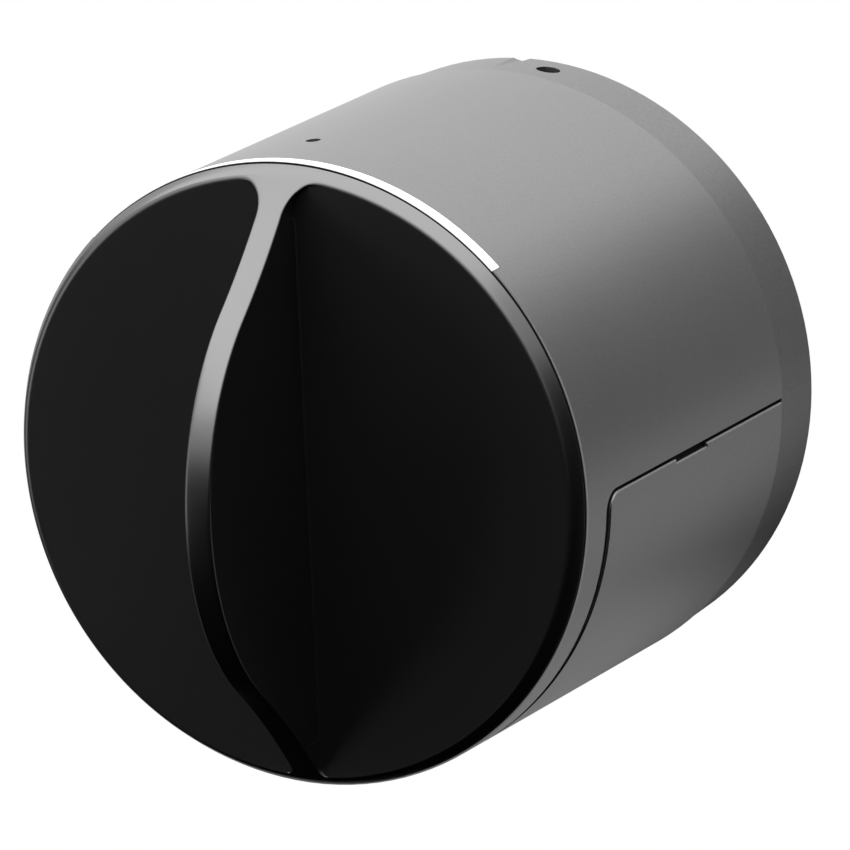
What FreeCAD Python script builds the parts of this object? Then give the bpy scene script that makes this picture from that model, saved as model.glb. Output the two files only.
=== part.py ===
import FreeCAD, Part
import math
import os

# Cylinder smart lock with a finned thumb knob, in millimetres.
# The origin is the centre of the rear mounting face, on the lock's axis.
# +Y points into the door, the knob faces -Y, and +Z is up.
# Clock angles are in degrees from 12 o'clock, clockwise seen from the front.

# Overall sizes
BODY_R = 29.5
WALL = 1.5
RING_LENGTH = 7.4
RING_STEP = 0.12
RING_TAPER = 0.36
EDGE_CHAMFER = 0.25

# Clearances
RUNNING = 0.05
SLIP = 0.1
AIR = 0.3

# Knob
KNOB_GAP = 0.3
KNOB_STEP = 0.2
FIN_HEIGHT = 19.7
FIN_THICKNESS = 2.3
CREST_R = 23.4
FLANK_R = 70.0
RIM_HEIGHT = 1.44
RIM_WIDTH = 0.7
RIM_SIDE_HEIGHT = 0.36
RIM_BULGE = 0.03
POCKET_INSET = 0.25
POCKET_FLOOR = 1.1
POCKET_CORNER_R = 3.0
POCKET_ROOT_R = 0.3
CREST_EDGE_R = 0.12
HUB_R = 11.5
KNOB_SCREW_LENGTH = 4.0
KNOB_SCREW_FIRST_ANGLE = 90.0
MAGNET_R = 1.2
MAGNET_DEPTH = 1.0
MAGNET_OFFSET = 1.6

# Battery cover opening, measured back from the housing's front edge
BAND_LENGTH = 3.6
COVER_EDGE_Z = -0.05
COVER_CORNER_R = 2.0
COVER_TOP_GAP = 0.4
COVER_FRONT_GAP = 0.87
COVER_REAR_GAP = 0.12
COVER_CHAMFER = 0.12
NOTCH_START = 17.8
NOTCH_LENGTH = 6.2
NOTCH_DEPTH = 0.35
NOTCH_FLOOR = 0.55
LATCH_THICKNESS = 0.7
LATCH_WIDTH = 8.0
LATCH_RISE = 2.2
LATCH_FALL = 3.0
LATCH_FROM_ENDS = 7.0

# Reset hole, light strip, set screw and alignment groove
PINHOLE_R = 0.7
PINHOLE_ANGLE = -3.9
PINHOLE_FROM_FRONT = 8.6
STRIP_WIDTH = 1.3
STRIP_HALF_ANGLE = 45.0
STRIP_LEG = 0.9
LED_COUNT = 7
LED_SIZE = 1.0
LED_BOARD_THICKNESS = 0.25
LED_BOARD_INSET_ANGLE = 2.0
LED_INSET_ANGLE = 6.0
SET_SCREW_R = 1.1
SET_SCREW_LENGTH = 4.0
SET_HOLE_ANGLE = 8.0
SET_HOLE_FROM_REAR = 3.6
HEX_ACROSS = 0.9
GROOVE_HALF_WIDTH = 0.93
GROOVE_DEPTH = 0.33
GROOVE_LENGTH = 6.0
GROOVE_ANGLE = -0.9

# Rear socket that goes over the door adapter
SOCKET_WALL = 6.5
SOCKET_DEPTH = 5.0
BULKHEAD_TO_WALL = 0.5
COUPLING_WALL = 1.0
COUPLING_LENGTH = 8.0
COUPLING_RECESS = 0.15
DRIVE_SLOT_WIDTH = 4.6
DRIVE_SLOT_LENGTH = 12.0
DRIVE_SLOT_DEPTH = 5.0
PIN_R = 0.9
PIN_FROM_END = 1.6
BUSH_WALL = 1.2
REAR_SCREW_BITE = 1.4
REAR_SCREW_FROM_SOCKET = 2.4
REAR_SCREW_ANGLES = (38.0, 142.0, 218.0, 322.0)

# Front gear chamber
BEZEL_INSET = 0.3
BEZEL_THICKNESS = 1.0
CHAMBER_DEPTH = 2.7
BULKHEAD_THICKNESS = 1.2
CUP_WALL = 1.2
GEAR_THICKNESS = 2.0
BEZEL_SCREW_BITE = 2.2
BEZEL_BOSS_R = 2.2
BEZEL_BOSS_GAP = 0.65
BEZEL_BOSS_ANGLES = (100.0, 220.0, 335.0)

# Gears
MODULE = 0.5
PRESSURE_ANGLE = 25.0
MAIN_TEETH = 52
IDLER_TEETH = 22
PINION_TEETH = 12
ADDENDUM = 0.9
DEDENDUM = 1.2
TOOTH_THINNING = 0.08
IDLER_PIN_R = 1.5
OUTPUT_SHAFT_R = 1.5
SPINDLE_R = 4.0
SPINDLE_FLAT_DEPTH = 0.8
SHAFT_IN_HUB = 1.2
CLIP_WIDTH = 1.6
CLIP_THICKNESS = 0.6
CLIP_GROOVE_DEPTH = 0.6
HALL_SIZE = 3.0
HALL_HEIGHT = 0.8

# Motor and planetary gearbox
MOTOR_ANGLE = 28.0
MOTOR_TO_WALL = 2.0
GEARBOX_R = 8.0
GEARBOX_LENGTH = 14.0
GEARBOX_GROOVE = 0.3
GEARBOX_SCREW_INSET = 2.5
GEARBOX_SCREW_LENGTH = 4.0
MOTOR_STEP = 0.3
MOTOR_END_ROOM = 0.7
ENDCAP_STEP = 2.3
ENDCAP_LENGTH = 2.0
TERMINAL_OFFSET = 3.85
TERMINAL_THICKNESS = 0.77
TERMINAL_WIDTH = 2.0
SHAFT_SEAT = 6.0

# Battery cells, four lithium cells of 17 mm by 34 mm
CELL_R = 8.5
CELL_LENGTH = 33.8
CELL_NUB_R = 3.2
CELL_NUB_LENGTH = 1.0
CELL_TO_WALL = 1.2
CELL_GAP = 0.32
CELL_END_PLAY = 0.3
CELL_CLEARANCE = 0.2
CELL_EDGE_R = 0.6
CONTACT_THICKNESS = 0.3
CONTACT_WIDTH = 7.0
LINK_WIDTH = 3.5

# Chassis
TRAY_TO_WALL = 0.4
CRADLE_DEPTH = 0.3
TUNNEL_CLEARANCE = 0.6
POST_R = 2.3
POST_TO_EDGE = 0.7
POST_ANGLE = 60.0
CHASSIS_SCREW_LENGTH = 8.0

# Circuit board
BOARD_FROM_TOP = 7.0
BOARD_THICKNESS = 1.0
BOARD_TO_WALL = 0.5
BOARD_TO_MOTOR = 1.35
BOARD_INSET = 1.0
BOARD_REAR_ROOM = 5.7
BOARD_SCREW_LENGTH = 5.0
STANDOFF_R = 2.1
STANDOFF_INSET = 3.9
STANDOFF_FROM_ENDS = 5.5
RADIO_SIZE = (9.0, 11.0, 1.8)
RADIO_TO_CHIP = 1.0
RADIO_EDGE_R = 0.3
CHIP_SIZE = (6.0, 6.0, 0.9)
CHIP_FROM_END = 4.0
CHIPS_INSET = 6.6
SWITCH_SIZE = 3.2
SWITCH_HEIGHT = 2.6
PLUNGER_R = 0.9
PLUNGER_HEIGHT = 1.6
PLUNGER_TRAVEL = 0.3

# Small screws
SCREW_R = 1.0
SCREW_HEAD_R = 1.8
SCREW_HEAD_HEIGHT = 0.8
SCREW_SLOT_WIDTH = 0.36
BOARD_SCREW_HEAD_R = 1.6

# Radii that follow
SOCKET_R = BODY_R - SOCKET_WALL
RING_FRONT_R = BODY_R - RING_STEP
RING_REAR_R = RING_FRONT_R - RING_TAPER
KNOB_R = BODY_R - KNOB_STEP
RIM_INNER_R = KNOB_R - RIM_WIDTH
POCKET_R = RIM_INNER_R - POCKET_INSET
INNER_R = BODY_R - WALL
CUP_R = INNER_R - SLIP
BULKHEAD_R = INNER_R - BULKHEAD_TO_WALL
TRAY_R = INNER_R - TRAY_TO_WALL
LEG_R = INNER_R - STRIP_LEG
LED_R = LEG_R - SLIP - LED_SIZE
LAMP_POCKET_R = LED_R - LED_BOARD_THICKNESS - AIR
BEZEL_BOSS_RADIUS = LAMP_POCKET_R - BEZEL_BOSS_R - BEZEL_BOSS_GAP
POST_RADIUS = TRAY_R - POST_R - POST_TO_EDGE
REAR_SCREW_RADIUS = SOCKET_R + REAR_SCREW_FROM_SOCKET
COUPLING_R = DRIVE_SLOT_LENGTH / 2 + COUPLING_WALL
MOTOR_RADIUS = INNER_R - GEARBOX_R - MOTOR_TO_WALL
MOTOR_R = GEARBOX_R - MOTOR_STEP
ENDCAP_R = MOTOR_R - ENDCAP_STEP
SPINDLE_FLAT = SPINDLE_R - SPINDLE_FLAT_DEPTH
CLIP_R = SPINDLE_R + CLIP_WIDTH
CLIP_GROOVE_R = SPINDLE_R - CLIP_GROOVE_DEPTH
TUNNEL_R = CLIP_R + TUNNEL_CLEARANCE
KNOB_SCREW_RADIUS = (HUB_R + SPINDLE_R) / 2
MAGNET_RADIUS = KNOB_SCREW_RADIUS + MAGNET_OFFSET
SCREW_HOLE_R = SCREW_R + RUNNING
SET_HOLE_R = SET_SCREW_R + RUNNING
CELL_RADIUS = INNER_R - CELL_R - CELL_TO_WALL
CELL_SPACING = 2 * math.degrees(math.asin((CELL_R + CELL_GAP / 2) / CELL_RADIUS))

# Lengths that follow
BAY_LENGTH = CELL_LENGTH + 2 * CONTACT_THICKNESS + CELL_END_PLAY
CHAMBER_LENGTH = BEZEL_INSET + BEZEL_THICKNESS + CHAMBER_DEPTH + BULKHEAD_THICKNESS
BODY_LENGTH = RING_LENGTH + BAY_LENGTH + CHAMBER_LENGTH
MOTOR_LENGTH = BAY_LENGTH - GEARBOX_LENGTH - 2 * ENDCAP_LENGTH - MOTOR_END_ROOM
BOARD_LENGTH = BAY_LENGTH - BOARD_INSET - BOARD_REAR_ROOM
BEZEL_SCREW_LENGTH = BEZEL_THICKNESS + BEZEL_SCREW_BITE
REAR_SCREW_LENGTH = SOCKET_DEPTH + REAR_SCREW_BITE

# Stations along the axis
FRONT_Y = -BODY_LENGTH
RING_Y = -RING_LENGTH
KNOB_BACK_Y = FRONT_Y - KNOB_GAP
BEZEL_Y = FRONT_Y + BEZEL_INSET
CHAMBER_FRONT_Y = BEZEL_Y + BEZEL_THICKNESS
CHAMBER_REAR_Y = CHAMBER_FRONT_Y + CHAMBER_DEPTH
BAY_FRONT_Y = CHAMBER_REAR_Y + BULKHEAD_THICKNESS
BAY_REAR_Y = RING_Y
OPENING_Y = FRONT_Y + BAND_LENGTH
GEAR_FRONT_Y = CHAMBER_FRONT_Y + (CHAMBER_DEPTH - GEAR_THICKNESS) / 2
GEAR_REAR_Y = GEAR_FRONT_Y + GEAR_THICKNESS
COUPLING_REAR_Y = -SOCKET_DEPTH - COUPLING_RECESS
COUPLING_FRONT_Y = COUPLING_REAR_Y - COUPLING_LENGTH
AXIS = FreeCAD.Vector(0, 1, 0)
ORIGIN = FreeCAD.Vector(0, 0, 0)


def at_clock(radius, angle, y=0.0):
    """Point at a radius and clock angle from the axis."""
    turn = math.radians(angle)
    return FreeCAD.Vector(radius * math.sin(turn), y, radius * math.cos(turn))


def rod(radius, y_front, y_rear, centre=ORIGIN):
    """Round bar along the axis between two stations."""
    base = FreeCAD.Vector(centre.x, y_front, centre.z)
    return Part.makeCylinder(radius, y_rear - y_front, base, AXIS)


def tube(outer, inner, y_front, y_rear, centre=ORIGIN):
    """Round sleeve along the axis between two stations."""
    return rod(outer, y_front, y_rear, centre).cut(rod(inner, y_front, y_rear, centre))


def block(x, y, z):
    """Box from three (low, high) pairs."""
    corner = FreeCAD.Vector(x[0], y[0], z[0])
    return Part.makeBox(x[1] - x[0], y[1] - y[0], z[1] - z[0], corner)


def radial_rod(radius, inner, outer, angle, y):
    """Round bar that points out from the axis at a clock angle."""
    direction = at_clock(1.0, angle)
    return Part.makeCylinder(radius, outer - inner, at_clock(inner, angle, y), direction)


def turned(shape, angle):
    """Copy of a shape turned about the lock's axis by a clock angle."""
    copy = shape.copy()
    copy.rotate(ORIGIN, AXIS, angle)
    return copy


def sector(inner, outer, half_angle, y_front, y_rear, middle=0.0):
    """Piece of a sleeve that spans a clock angle to both sides of its middle."""
    corners = [FreeCAD.Vector(inner, y_front, 0), FreeCAD.Vector(outer, y_front, 0),
               FreeCAD.Vector(outer, y_rear, 0), FreeCAD.Vector(inner, y_rear, 0)]
    face = Part.Face(Part.makePolygon(corners + corners[:1]))
    start_angle = 90.0
    piece = face.revolve(ORIGIN, AXIS, 2 * half_angle)
    return turned(piece, middle - start_angle - half_angle)


def revolved(edges):
    """Solid turned about the axis from a closed outline in the XY plane."""
    return Part.Face(Part.Wire(edges)).revolve(ORIGIN, AXIS, 360)


def straight(a, b):
    """Line between two (radius, y) points."""
    return Part.makeLine(FreeCAD.Vector(a[0], a[1], 0), FreeCAD.Vector(b[0], b[1], 0))


def arc(a, middle, b):
    """Arc through three (radius, y) points."""
    points = [FreeCAD.Vector(p[0], p[1], 0) for p in (a, middle, b)]
    return Part.Arc(*points).toShape()


def polygon_rod(points, y_front, y_rear):
    """Bar along the axis with a straight-sided section of (x, z) points."""
    corners = [FreeCAD.Vector(x, y_front, z) for x, z in points]
    face = Part.Face(Part.makePolygon(corners + corners[:1]))
    return face.extrude(FreeCAD.Vector(0, y_rear - y_front, 0))


def screw(head_y, length, centre, head_r=SCREW_HEAD_R, towards=1):
    """Cap screw along the axis, head at head_y, shank running towards the rear or the front."""
    shank_end = head_y + towards * length
    head_end = head_y + towards * SCREW_HEAD_HEIGHT
    head = rod(head_r, min(head_y, head_end), max(head_y, head_end), centre)
    shank = rod(SCREW_R, min(head_end, shank_end), max(head_end, shank_end), centre)
    slot_half = SCREW_SLOT_WIDTH / 2
    slot_depth = SCREW_HEAD_HEIGHT / 2
    slot_y = sorted((head_y - towards * slot_depth, head_y + towards * slot_depth))
    across = (centre.x - head_r, centre.x + head_r)
    upright = (centre.z - head_r, centre.z + head_r)
    slot_x = (centre.x - slot_half, centre.x + slot_half)
    slot_z = (centre.z - slot_half, centre.z + slot_half)
    body = head.fuse(shank)
    return body.cut(block(across, slot_y, slot_z)).cut(block(slot_x, slot_y, upright))


def screw_hole(head_y, length, centre, towards=1):
    """Counterbore and clearance hole for a cap screw."""
    head_end = head_y + towards * SCREW_HEAD_HEIGHT
    shank_end = head_y + towards * (length + AIR)
    head = rod(SCREW_HEAD_R + SLIP, min(head_y, head_end), max(head_y, head_end), centre)
    shank = rod(SCREW_HOLE_R, min(head_end, shank_end), max(head_end, shank_end), centre)
    return head.fuse(shank)


# Gears


def involute(angle):
    return math.tan(angle) - angle


def gear_radius(teeth):
    return MODULE * teeth / 2


def gear(teeth, centre, phase, y_front, y_rear):
    """Spur gear with a tooth centred at the clock angle phase."""
    pitch = gear_radius(teeth)
    base = pitch * math.cos(math.radians(PRESSURE_ANGLE))
    tip = pitch + ADDENDUM * MODULE
    root = pitch - DEDENDUM * MODULE
    start = max(base, root)
    half_at_pitch = (math.pi * MODULE / 2 - TOOTH_THINNING) / 2 / pitch
    pressure = involute(math.radians(PRESSURE_ANGLE))

    def half_width(radius):
        return half_at_pitch + pressure - involute(math.acos(min(1.0, base / radius)))

    def point(radius, turn):
        place = at_clock(radius, math.degrees(turn))
        return FreeCAD.Vector(centre.x + place.x, y_front, centre.z + place.z)

    edges = []
    step = 2 * math.pi / teeth
    middle_r = (start + tip) / 2
    for tooth in range(teeth):
        line = math.radians(phase) + tooth * step
        rise = [point(r, line - half_width(r)) for r in (start, middle_r, tip)]
        fall = [point(r, line + half_width(r)) for r in (tip, middle_r, start)]
        foot_in = point(root, line - half_width(start))
        foot_out = point(root, line + half_width(start))
        next_foot = point(root, line + step - half_width(start))
        if start > root:
            edges.append(Part.makeLine(foot_in, rise[0]))
            edges.append(Part.makeLine(fall[2], foot_out))
        edges.append(Part.Arc(*rise).toShape())
        edges.append(Part.Arc(rise[2], point(tip, line), fall[0]).toShape())
        edges.append(Part.Arc(*fall).toShape())
        edges.append(Part.Arc(foot_out, point(root, line + step / 2), next_foot).toShape())
    face = Part.Face(Part.Wire(Part.__sortEdges__(edges)))
    return face.extrude(FreeCAD.Vector(0, y_rear - y_front, 0))


MAIN_IDLER = gear_radius(MAIN_TEETH) + gear_radius(IDLER_TEETH)
IDLER_PINION = gear_radius(IDLER_TEETH) + gear_radius(PINION_TEETH)
SPREAD = math.degrees(math.acos(
    (MOTOR_RADIUS**2 + MAIN_IDLER**2 - IDLER_PINION**2) / (2 * MOTOR_RADIUS * MAIN_IDLER)))
IDLER_ANGLE = MOTOR_ANGLE + SPREAD
MOTOR_CENTRE = at_clock(MOTOR_RADIUS, MOTOR_ANGLE)
IDLER_CENTRE = at_clock(MAIN_IDLER, IDLER_ANGLE)
TO_PINION = MOTOR_CENTRE.sub(IDLER_CENTRE)
PINION_DIRECTION = math.degrees(math.atan2(TO_PINION.x, TO_PINION.z))
MAIN_PHASE = IDLER_ANGLE
IDLER_PHASE = IDLER_ANGLE + 180 + 180 / IDLER_TEETH
PINION_PHASE = (PINION_DIRECTION + 180 + 180 / PINION_TEETH
                + (PINION_DIRECTION - IDLER_PHASE) * IDLER_TEETH / PINION_TEETH)

# Places that follow from the motor
TRAY_TOP_Z = MOTOR_CENTRE.z - GEARBOX_R + CRADLE_DEPTH
BOARD_Z = INNER_R - BOARD_FROM_TOP
BOARD_TOP_Z = BOARD_Z + BOARD_THICKNESS
BOARD_LEFT = -math.sqrt((INNER_R - BOARD_TO_WALL)**2 - BOARD_TOP_Z**2)
BOARD_RIGHT = MOTOR_CENTRE.x - math.sqrt(
    (GEARBOX_R + BOARD_TO_MOTOR)**2 - (BOARD_Z - MOTOR_CENTRE.z)**2)
STANDOFF_X = BOARD_LEFT + STANDOFF_INSET
CHIPS_X = BOARD_RIGHT - CHIPS_INSET


# Outer housing


def cover_window(top_gap, front_gap, rear_gap):
    """Block that spans the battery cover's opening, its front corners rounded."""
    reach = BODY_R + WALL
    window = block((-reach, reach),
                   (OPENING_Y + front_gap, RING_Y - rear_gap),
                   (-reach, COVER_EDGE_Z - top_gap))
    corner = [e for e in window.Edges
              if abs(e.CenterOfMass.y - OPENING_Y - front_gap) < 1e-6
              and abs(e.CenterOfMass.z - COVER_EDGE_Z + top_gap) < 1e-6]
    return window.makeFillet(COVER_CORNER_R - top_gap, corner)


def housing_shell():
    shell = tube(BODY_R, INNER_R, FRONT_Y, RING_Y)
    shell = shell.cut(cover_window(0.0, 0.0, -EDGE_CHAMFER))
    pinhole = radial_rod(PINHOLE_R, INNER_R - WALL, BODY_R + WALL,
                         PINHOLE_ANGLE, FRONT_Y + PINHOLE_FROM_FRONT)
    rebate = sector(INNER_R - WALL, BODY_R + WALL, STRIP_HALF_ANGLE,
                    FRONT_Y - WALL, FRONT_Y + STRIP_WIDTH)
    return shell.cut(pinhole).cut(rebate)


def light_guide():
    """Translucent strip in the housing's front edge, with a leg over the lamps."""
    inset = math.degrees(SLIP / BODY_R)
    face = sector(INNER_R - SLIP, BODY_R, STRIP_HALF_ANGLE - inset,
                  FRONT_Y, FRONT_Y + STRIP_WIDTH - SLIP)
    leg = sector(LEG_R, INNER_R, STRIP_HALF_ANGLE - 3 * inset,
                 BEZEL_Y, FRONT_Y + STRIP_WIDTH - SLIP)
    return face.fuse(leg).removeSplitter()


def led_board():
    return sector(LED_R - LED_BOARD_THICKNESS, LED_R, STRIP_HALF_ANGLE - LED_BOARD_INSET_ANGLE,
                  BEZEL_Y, FRONT_Y + STRIP_WIDTH - SLIP)


def status_leds():
    """Lamp chips on the curved board, each pointing out into the light guide."""
    span = 2 * (STRIP_HALF_ANGLE - LED_INSET_ANGLE)
    middle_y = (BEZEL_Y + FRONT_Y + STRIP_WIDTH - SLIP) / 2
    half = LED_SIZE / 2 - SLIP
    chips = []
    for index in range(LED_COUNT):
        chip = block((-LED_SIZE, LED_SIZE), (middle_y - half, middle_y + half),
                     (LED_R, LED_R + LED_SIZE))
        base = rod(LED_R + SLIP / 4, middle_y - half, middle_y + half)
        angle = -span / 2 + index * span / (LED_COUNT - 1)
        chips.append(turned(chip.cut(base), angle))
    return Part.makeCompound(chips)


def battery_cover():
    """Lower half shell that lifts off downwards, with a nail notch in each top edge."""
    shell = tube(BODY_R, INNER_R, FRONT_Y, RING_Y)
    cover = shell.common(cover_window(COVER_TOP_GAP, COVER_FRONT_GAP, COVER_REAR_GAP))
    notch_y = FRONT_Y + NOTCH_START
    reach = BODY_R + WALL
    top = COVER_EDGE_Z - COVER_TOP_GAP
    notch = block((-reach, reach), (notch_y, notch_y + NOTCH_LENGTH),
                  (top - NOTCH_DEPTH, top + NOTCH_DEPTH))
    core = rod(BODY_R - NOTCH_FLOOR, FRONT_Y, RING_Y)
    cover = cover.cut(notch.cut(core))
    outer_edges = []
    for edge in cover.Edges:
        middle = edge.valueAt((edge.FirstParameter + edge.LastParameter) / 2)
        on_skin = all(abs(math.hypot(v.X, v.Z) - BODY_R) < 1e-4 for v in edge.Vertexes)
        if on_skin and abs(math.hypot(middle.x, middle.z) - BODY_R) < 1e-3:
            outer_edges.append(edge)
    return cover.makeChamfer(COVER_CHAMFER, outer_edges)


def cover_latches():
    """Sprung hooks inside the cover's top edges, which reach up behind the housing."""
    outer = INNER_R - AIR
    inner = outer - LATCH_THICKNESS
    low = COVER_EDGE_Z - LATCH_FALL
    high = COVER_EDGE_Z + LATCH_RISE
    pads = []
    starts = (OPENING_Y + LATCH_FROM_ENDS, RING_Y - LATCH_FROM_ENDS - LATCH_WIDTH)
    for side in (-1, 1):
        for start in starts:
            strip = tube(outer, inner, start, start + LATCH_WIDTH)
            foot = tube(INNER_R, inner, start, start + LATCH_WIDTH)
            x = sorted((0.0, side * BODY_R))
            y = (start, start + LATCH_WIDTH)
            hook = strip.common(block(x, y, (low, high)))
            seat = foot.common(block(x, y, (low, low + LATCH_FALL / 2)))
            pads.append(hook.fuse(seat).removeSplitter())
    return Part.makeCompound(pads)


# Knob


def crest_arcs():
    """Profile of the knob's dome: a round crest that flows into the rim through a hollow arc."""
    crest_centre = FIN_HEIGHT - CREST_R
    dx = RIM_INNER_R
    dy = RIM_HEIGHT - crest_centre
    apart = math.hypot(dx, dy)
    reach = CREST_R + FLANK_R
    along = (reach**2 - FLANK_R**2 + apart**2) / (2 * apart)
    aside = math.sqrt(reach**2 - along**2)
    flank_centre = (along * dx / apart - aside * dy / apart,
                    crest_centre + along * dy / apart + aside * dx / apart)
    share = CREST_R / reach
    joint = (flank_centre[0] * share, crest_centre + (flank_centre[1] - crest_centre) * share)
    return crest_centre, flank_centre, joint


def dome():
    """Solid of revolution that holds the whole knob's front before its pockets are cut."""
    crest_centre, flank_centre, joint = crest_arcs()

    def at(radius, height):
        return (radius, FRONT_Y - height)

    def on_circle(centre, radius, a, b):
        angle = (math.atan2(a[1] - centre[1], a[0] - centre[0])
                 + math.atan2(b[1] - centre[1], b[0] - centre[0])) / 2
        return (centre[0] + radius * math.cos(angle), centre[1] + radius * math.sin(angle))

    crest_mid = on_circle((0.0, crest_centre), CREST_R, (0.0, FIN_HEIGHT), joint)
    start = math.atan2(joint[1] - flank_centre[1], joint[0] - flank_centre[0]) % (2 * math.pi)
    end = math.atan2(RIM_HEIGHT - flank_centre[1], RIM_INNER_R - flank_centre[0]) % (2 * math.pi)
    middle = (start + end) / 2
    flank_mid = (flank_centre[0] + FLANK_R * math.cos(middle),
                 flank_centre[1] + FLANK_R * math.sin(middle))
    rim_mid = ((KNOB_R + RIM_INNER_R) / 2 + RIM_BULGE,
               (RIM_SIDE_HEIGHT + RIM_HEIGHT) / 2 + RIM_BULGE)
    back = KNOB_GAP
    edges = [
        arc(at(0.0, FIN_HEIGHT), at(*crest_mid), at(*joint)),
        arc(at(*joint), at(*flank_mid), at(RIM_INNER_R, RIM_HEIGHT)),
        arc(at(RIM_INNER_R, RIM_HEIGHT), at(*rim_mid), at(KNOB_R, RIM_SIDE_HEIGHT)),
        straight(at(KNOB_R, RIM_SIDE_HEIGHT), at(KNOB_R, back + EDGE_CHAMFER / 2)),
        straight(at(KNOB_R, back + EDGE_CHAMFER / 2), at(KNOB_R - EDGE_CHAMFER / 2, back)),
        straight(at(KNOB_R - EDGE_CHAMFER / 2, back), at(0.0, back)),
        straight(at(0.0, back), at(0.0, FIN_HEIGHT)),
    ]
    return revolved(edges)


def pocket_tool(side):
    """D-shaped cutter for one side of the fin, its corners and its foot rounded."""
    floor_y = FRONT_Y - POCKET_FLOOR
    front = FRONT_Y - FIN_HEIGHT - FIN_THICKNESS
    half = FIN_THICKNESS / 2
    x = sorted((side * half, side * BODY_R))
    tool = rod(POCKET_R, front, floor_y).common(
        block(x, (front, floor_y), (-BODY_R, BODY_R)))
    upright = [e for e in tool.Edges
               if abs(abs(e.tangentAt(e.FirstParameter).y) - 1) < 1e-6
               and abs(abs(e.CenterOfMass.x) - half) < 1e-6]
    tool = tool.makeFillet(POCKET_CORNER_R, upright)
    foot = [e for e in tool.Edges if abs(e.BoundBox.YMin - floor_y) < 1e-6]
    return tool.makeFillet(POCKET_ROOT_R, foot)


def knob_screw_centres():
    return [at_clock(KNOB_SCREW_RADIUS, KNOB_SCREW_FIRST_ANGLE + 120 * index)
            for index in range(3)]


def on_pocket_wall(point):
    """True where a point lies on the upright wall of a pocket."""
    near = 1e-3
    half = FIN_THICKNESS / 2
    corner_x = half + POCKET_CORNER_R
    corner_z = math.sqrt((POCKET_R - POCKET_CORNER_R)**2 - corner_x**2)
    x = abs(point.x)
    z = abs(point.z)
    on_fin = abs(x - half) < near and z < corner_z + near
    on_rim = abs(math.hypot(x, z) - POCKET_R) < near
    on_corner = abs(math.hypot(x - corner_x, z - corner_z) - POCKET_CORNER_R) < near
    return on_fin or on_rim or on_corner


def crest_edges(shape):
    """Edges where the pockets' upright walls meet the dome."""
    found = []
    top_of_root = FRONT_Y - POCKET_FLOOR - POCKET_ROOT_R
    for edge in shape.Edges:
        span = edge.LastParameter - edge.FirstParameter
        points = [edge.valueAt(edge.FirstParameter + span * share) for share in (0, 0.3, 0.5, 1)]
        level = math.hypot(points[0].x - points[-1].x, points[0].z - points[-1].z) > 1e-3
        proud = all(point.y < top_of_root - 1e-3 for point in points)
        if level and proud and all(on_pocket_wall(point) for point in points):
            found.append(edge)
    return found


def knob():
    shape = dome().cut(pocket_tool(1)).cut(pocket_tool(-1))
    shape = shape.makeFillet(CREST_EDGE_R, crest_edges(shape))
    shape = shape.fuse(rod(HUB_R, KNOB_BACK_Y, GEAR_FRONT_Y))
    spindle_end = GEAR_FRONT_Y - SHAFT_IN_HUB
    shape = shape.cut(rod(SPINDLE_FLAT + RUNNING, spindle_end - SLIP, GEAR_FRONT_Y))
    for centre in knob_screw_centres():
        shape = shape.cut(rod(SCREW_HOLE_R, GEAR_REAR_Y - KNOB_SCREW_LENGTH - SLIP,
                              GEAR_FRONT_Y, centre))
    return shape


def main_gear():
    shape = gear(MAIN_TEETH, ORIGIN, MAIN_PHASE, GEAR_FRONT_Y, GEAR_REAR_Y)
    bore = spindle_section(GEAR_FRONT_Y, GEAR_REAR_Y, SPINDLE_R + SLIP / 2,
                           SPINDLE_FLAT + SLIP / 2)
    shape = shape.cut(bore)
    for centre in knob_screw_centres():
        shape = shape.cut(screw_hole(GEAR_REAR_Y, KNOB_SCREW_LENGTH, centre, -1))
    for centre in magnet_centres():
        shape = shape.cut(rod(MAGNET_R + SLIP / 2, GEAR_REAR_Y - MAGNET_DEPTH,
                              GEAR_REAR_Y, centre))
    return shape


def magnet_centres():
    return [at_clock(MAGNET_RADIUS, angle) for angle in (0, 180)]


def position_magnets():
    return Part.makeCompound([rod(MAGNET_R, GEAR_REAR_Y - MAGNET_DEPTH, GEAR_REAR_Y, centre)
                              for centre in magnet_centres()])


def knob_screws():
    return Part.makeCompound([screw(GEAR_REAR_Y, KNOB_SCREW_LENGTH, centre, towards=-1)
                              for centre in knob_screw_centres()])


def spindle_section(y_front, y_rear, radius, flat):
    """Round bar with one flat, which keys the spindle to what it turns."""
    bar = rod(radius, y_front, y_rear)
    return bar.cut(block((-radius, radius), (y_front, y_rear), (flat, 2 * radius)))


def spindle():
    """Steel shaft from the knob to the rear coupling, flatted at both ends."""
    front = GEAR_FRONT_Y - SHAFT_IN_HUB
    rear = COUPLING_REAR_Y - DRIVE_SLOT_DEPTH - SLIP
    keyed = spindle_section(GEAR_FRONT_Y, GEAR_REAR_Y, SPINDLE_R, SPINDLE_FLAT)
    nose = rod(SPINDLE_FLAT, front, GEAR_FRONT_Y)
    shank = rod(SPINDLE_R, GEAR_REAR_Y, rear)
    shape = nose.fuse(keyed).fuse(shank)
    clip_y = BAY_FRONT_Y + SLIP
    shape = shape.cut(tube(SPINDLE_R + SLIP, CLIP_GROOVE_R, clip_y, clip_y + CLIP_THICKNESS))
    return shape.cut(coupling_pin_hole())


def spindle_clip():
    """Circlip behind the front bulkhead that stops the knob from pulling out."""
    clip_y = BAY_FRONT_Y + SLIP
    ring = tube(CLIP_R, CLIP_GROOVE_R + SLIP / 4, clip_y, clip_y + CLIP_THICKNESS)
    mouth = block((-CLIP_GROOVE_R / 2, CLIP_GROOVE_R / 2), (clip_y, clip_y + CLIP_THICKNESS),
                  (0, CLIP_R + AIR))
    return ring.cut(mouth)


def coupling_pin_y():
    return COUPLING_FRONT_Y + PIN_FROM_END


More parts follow.
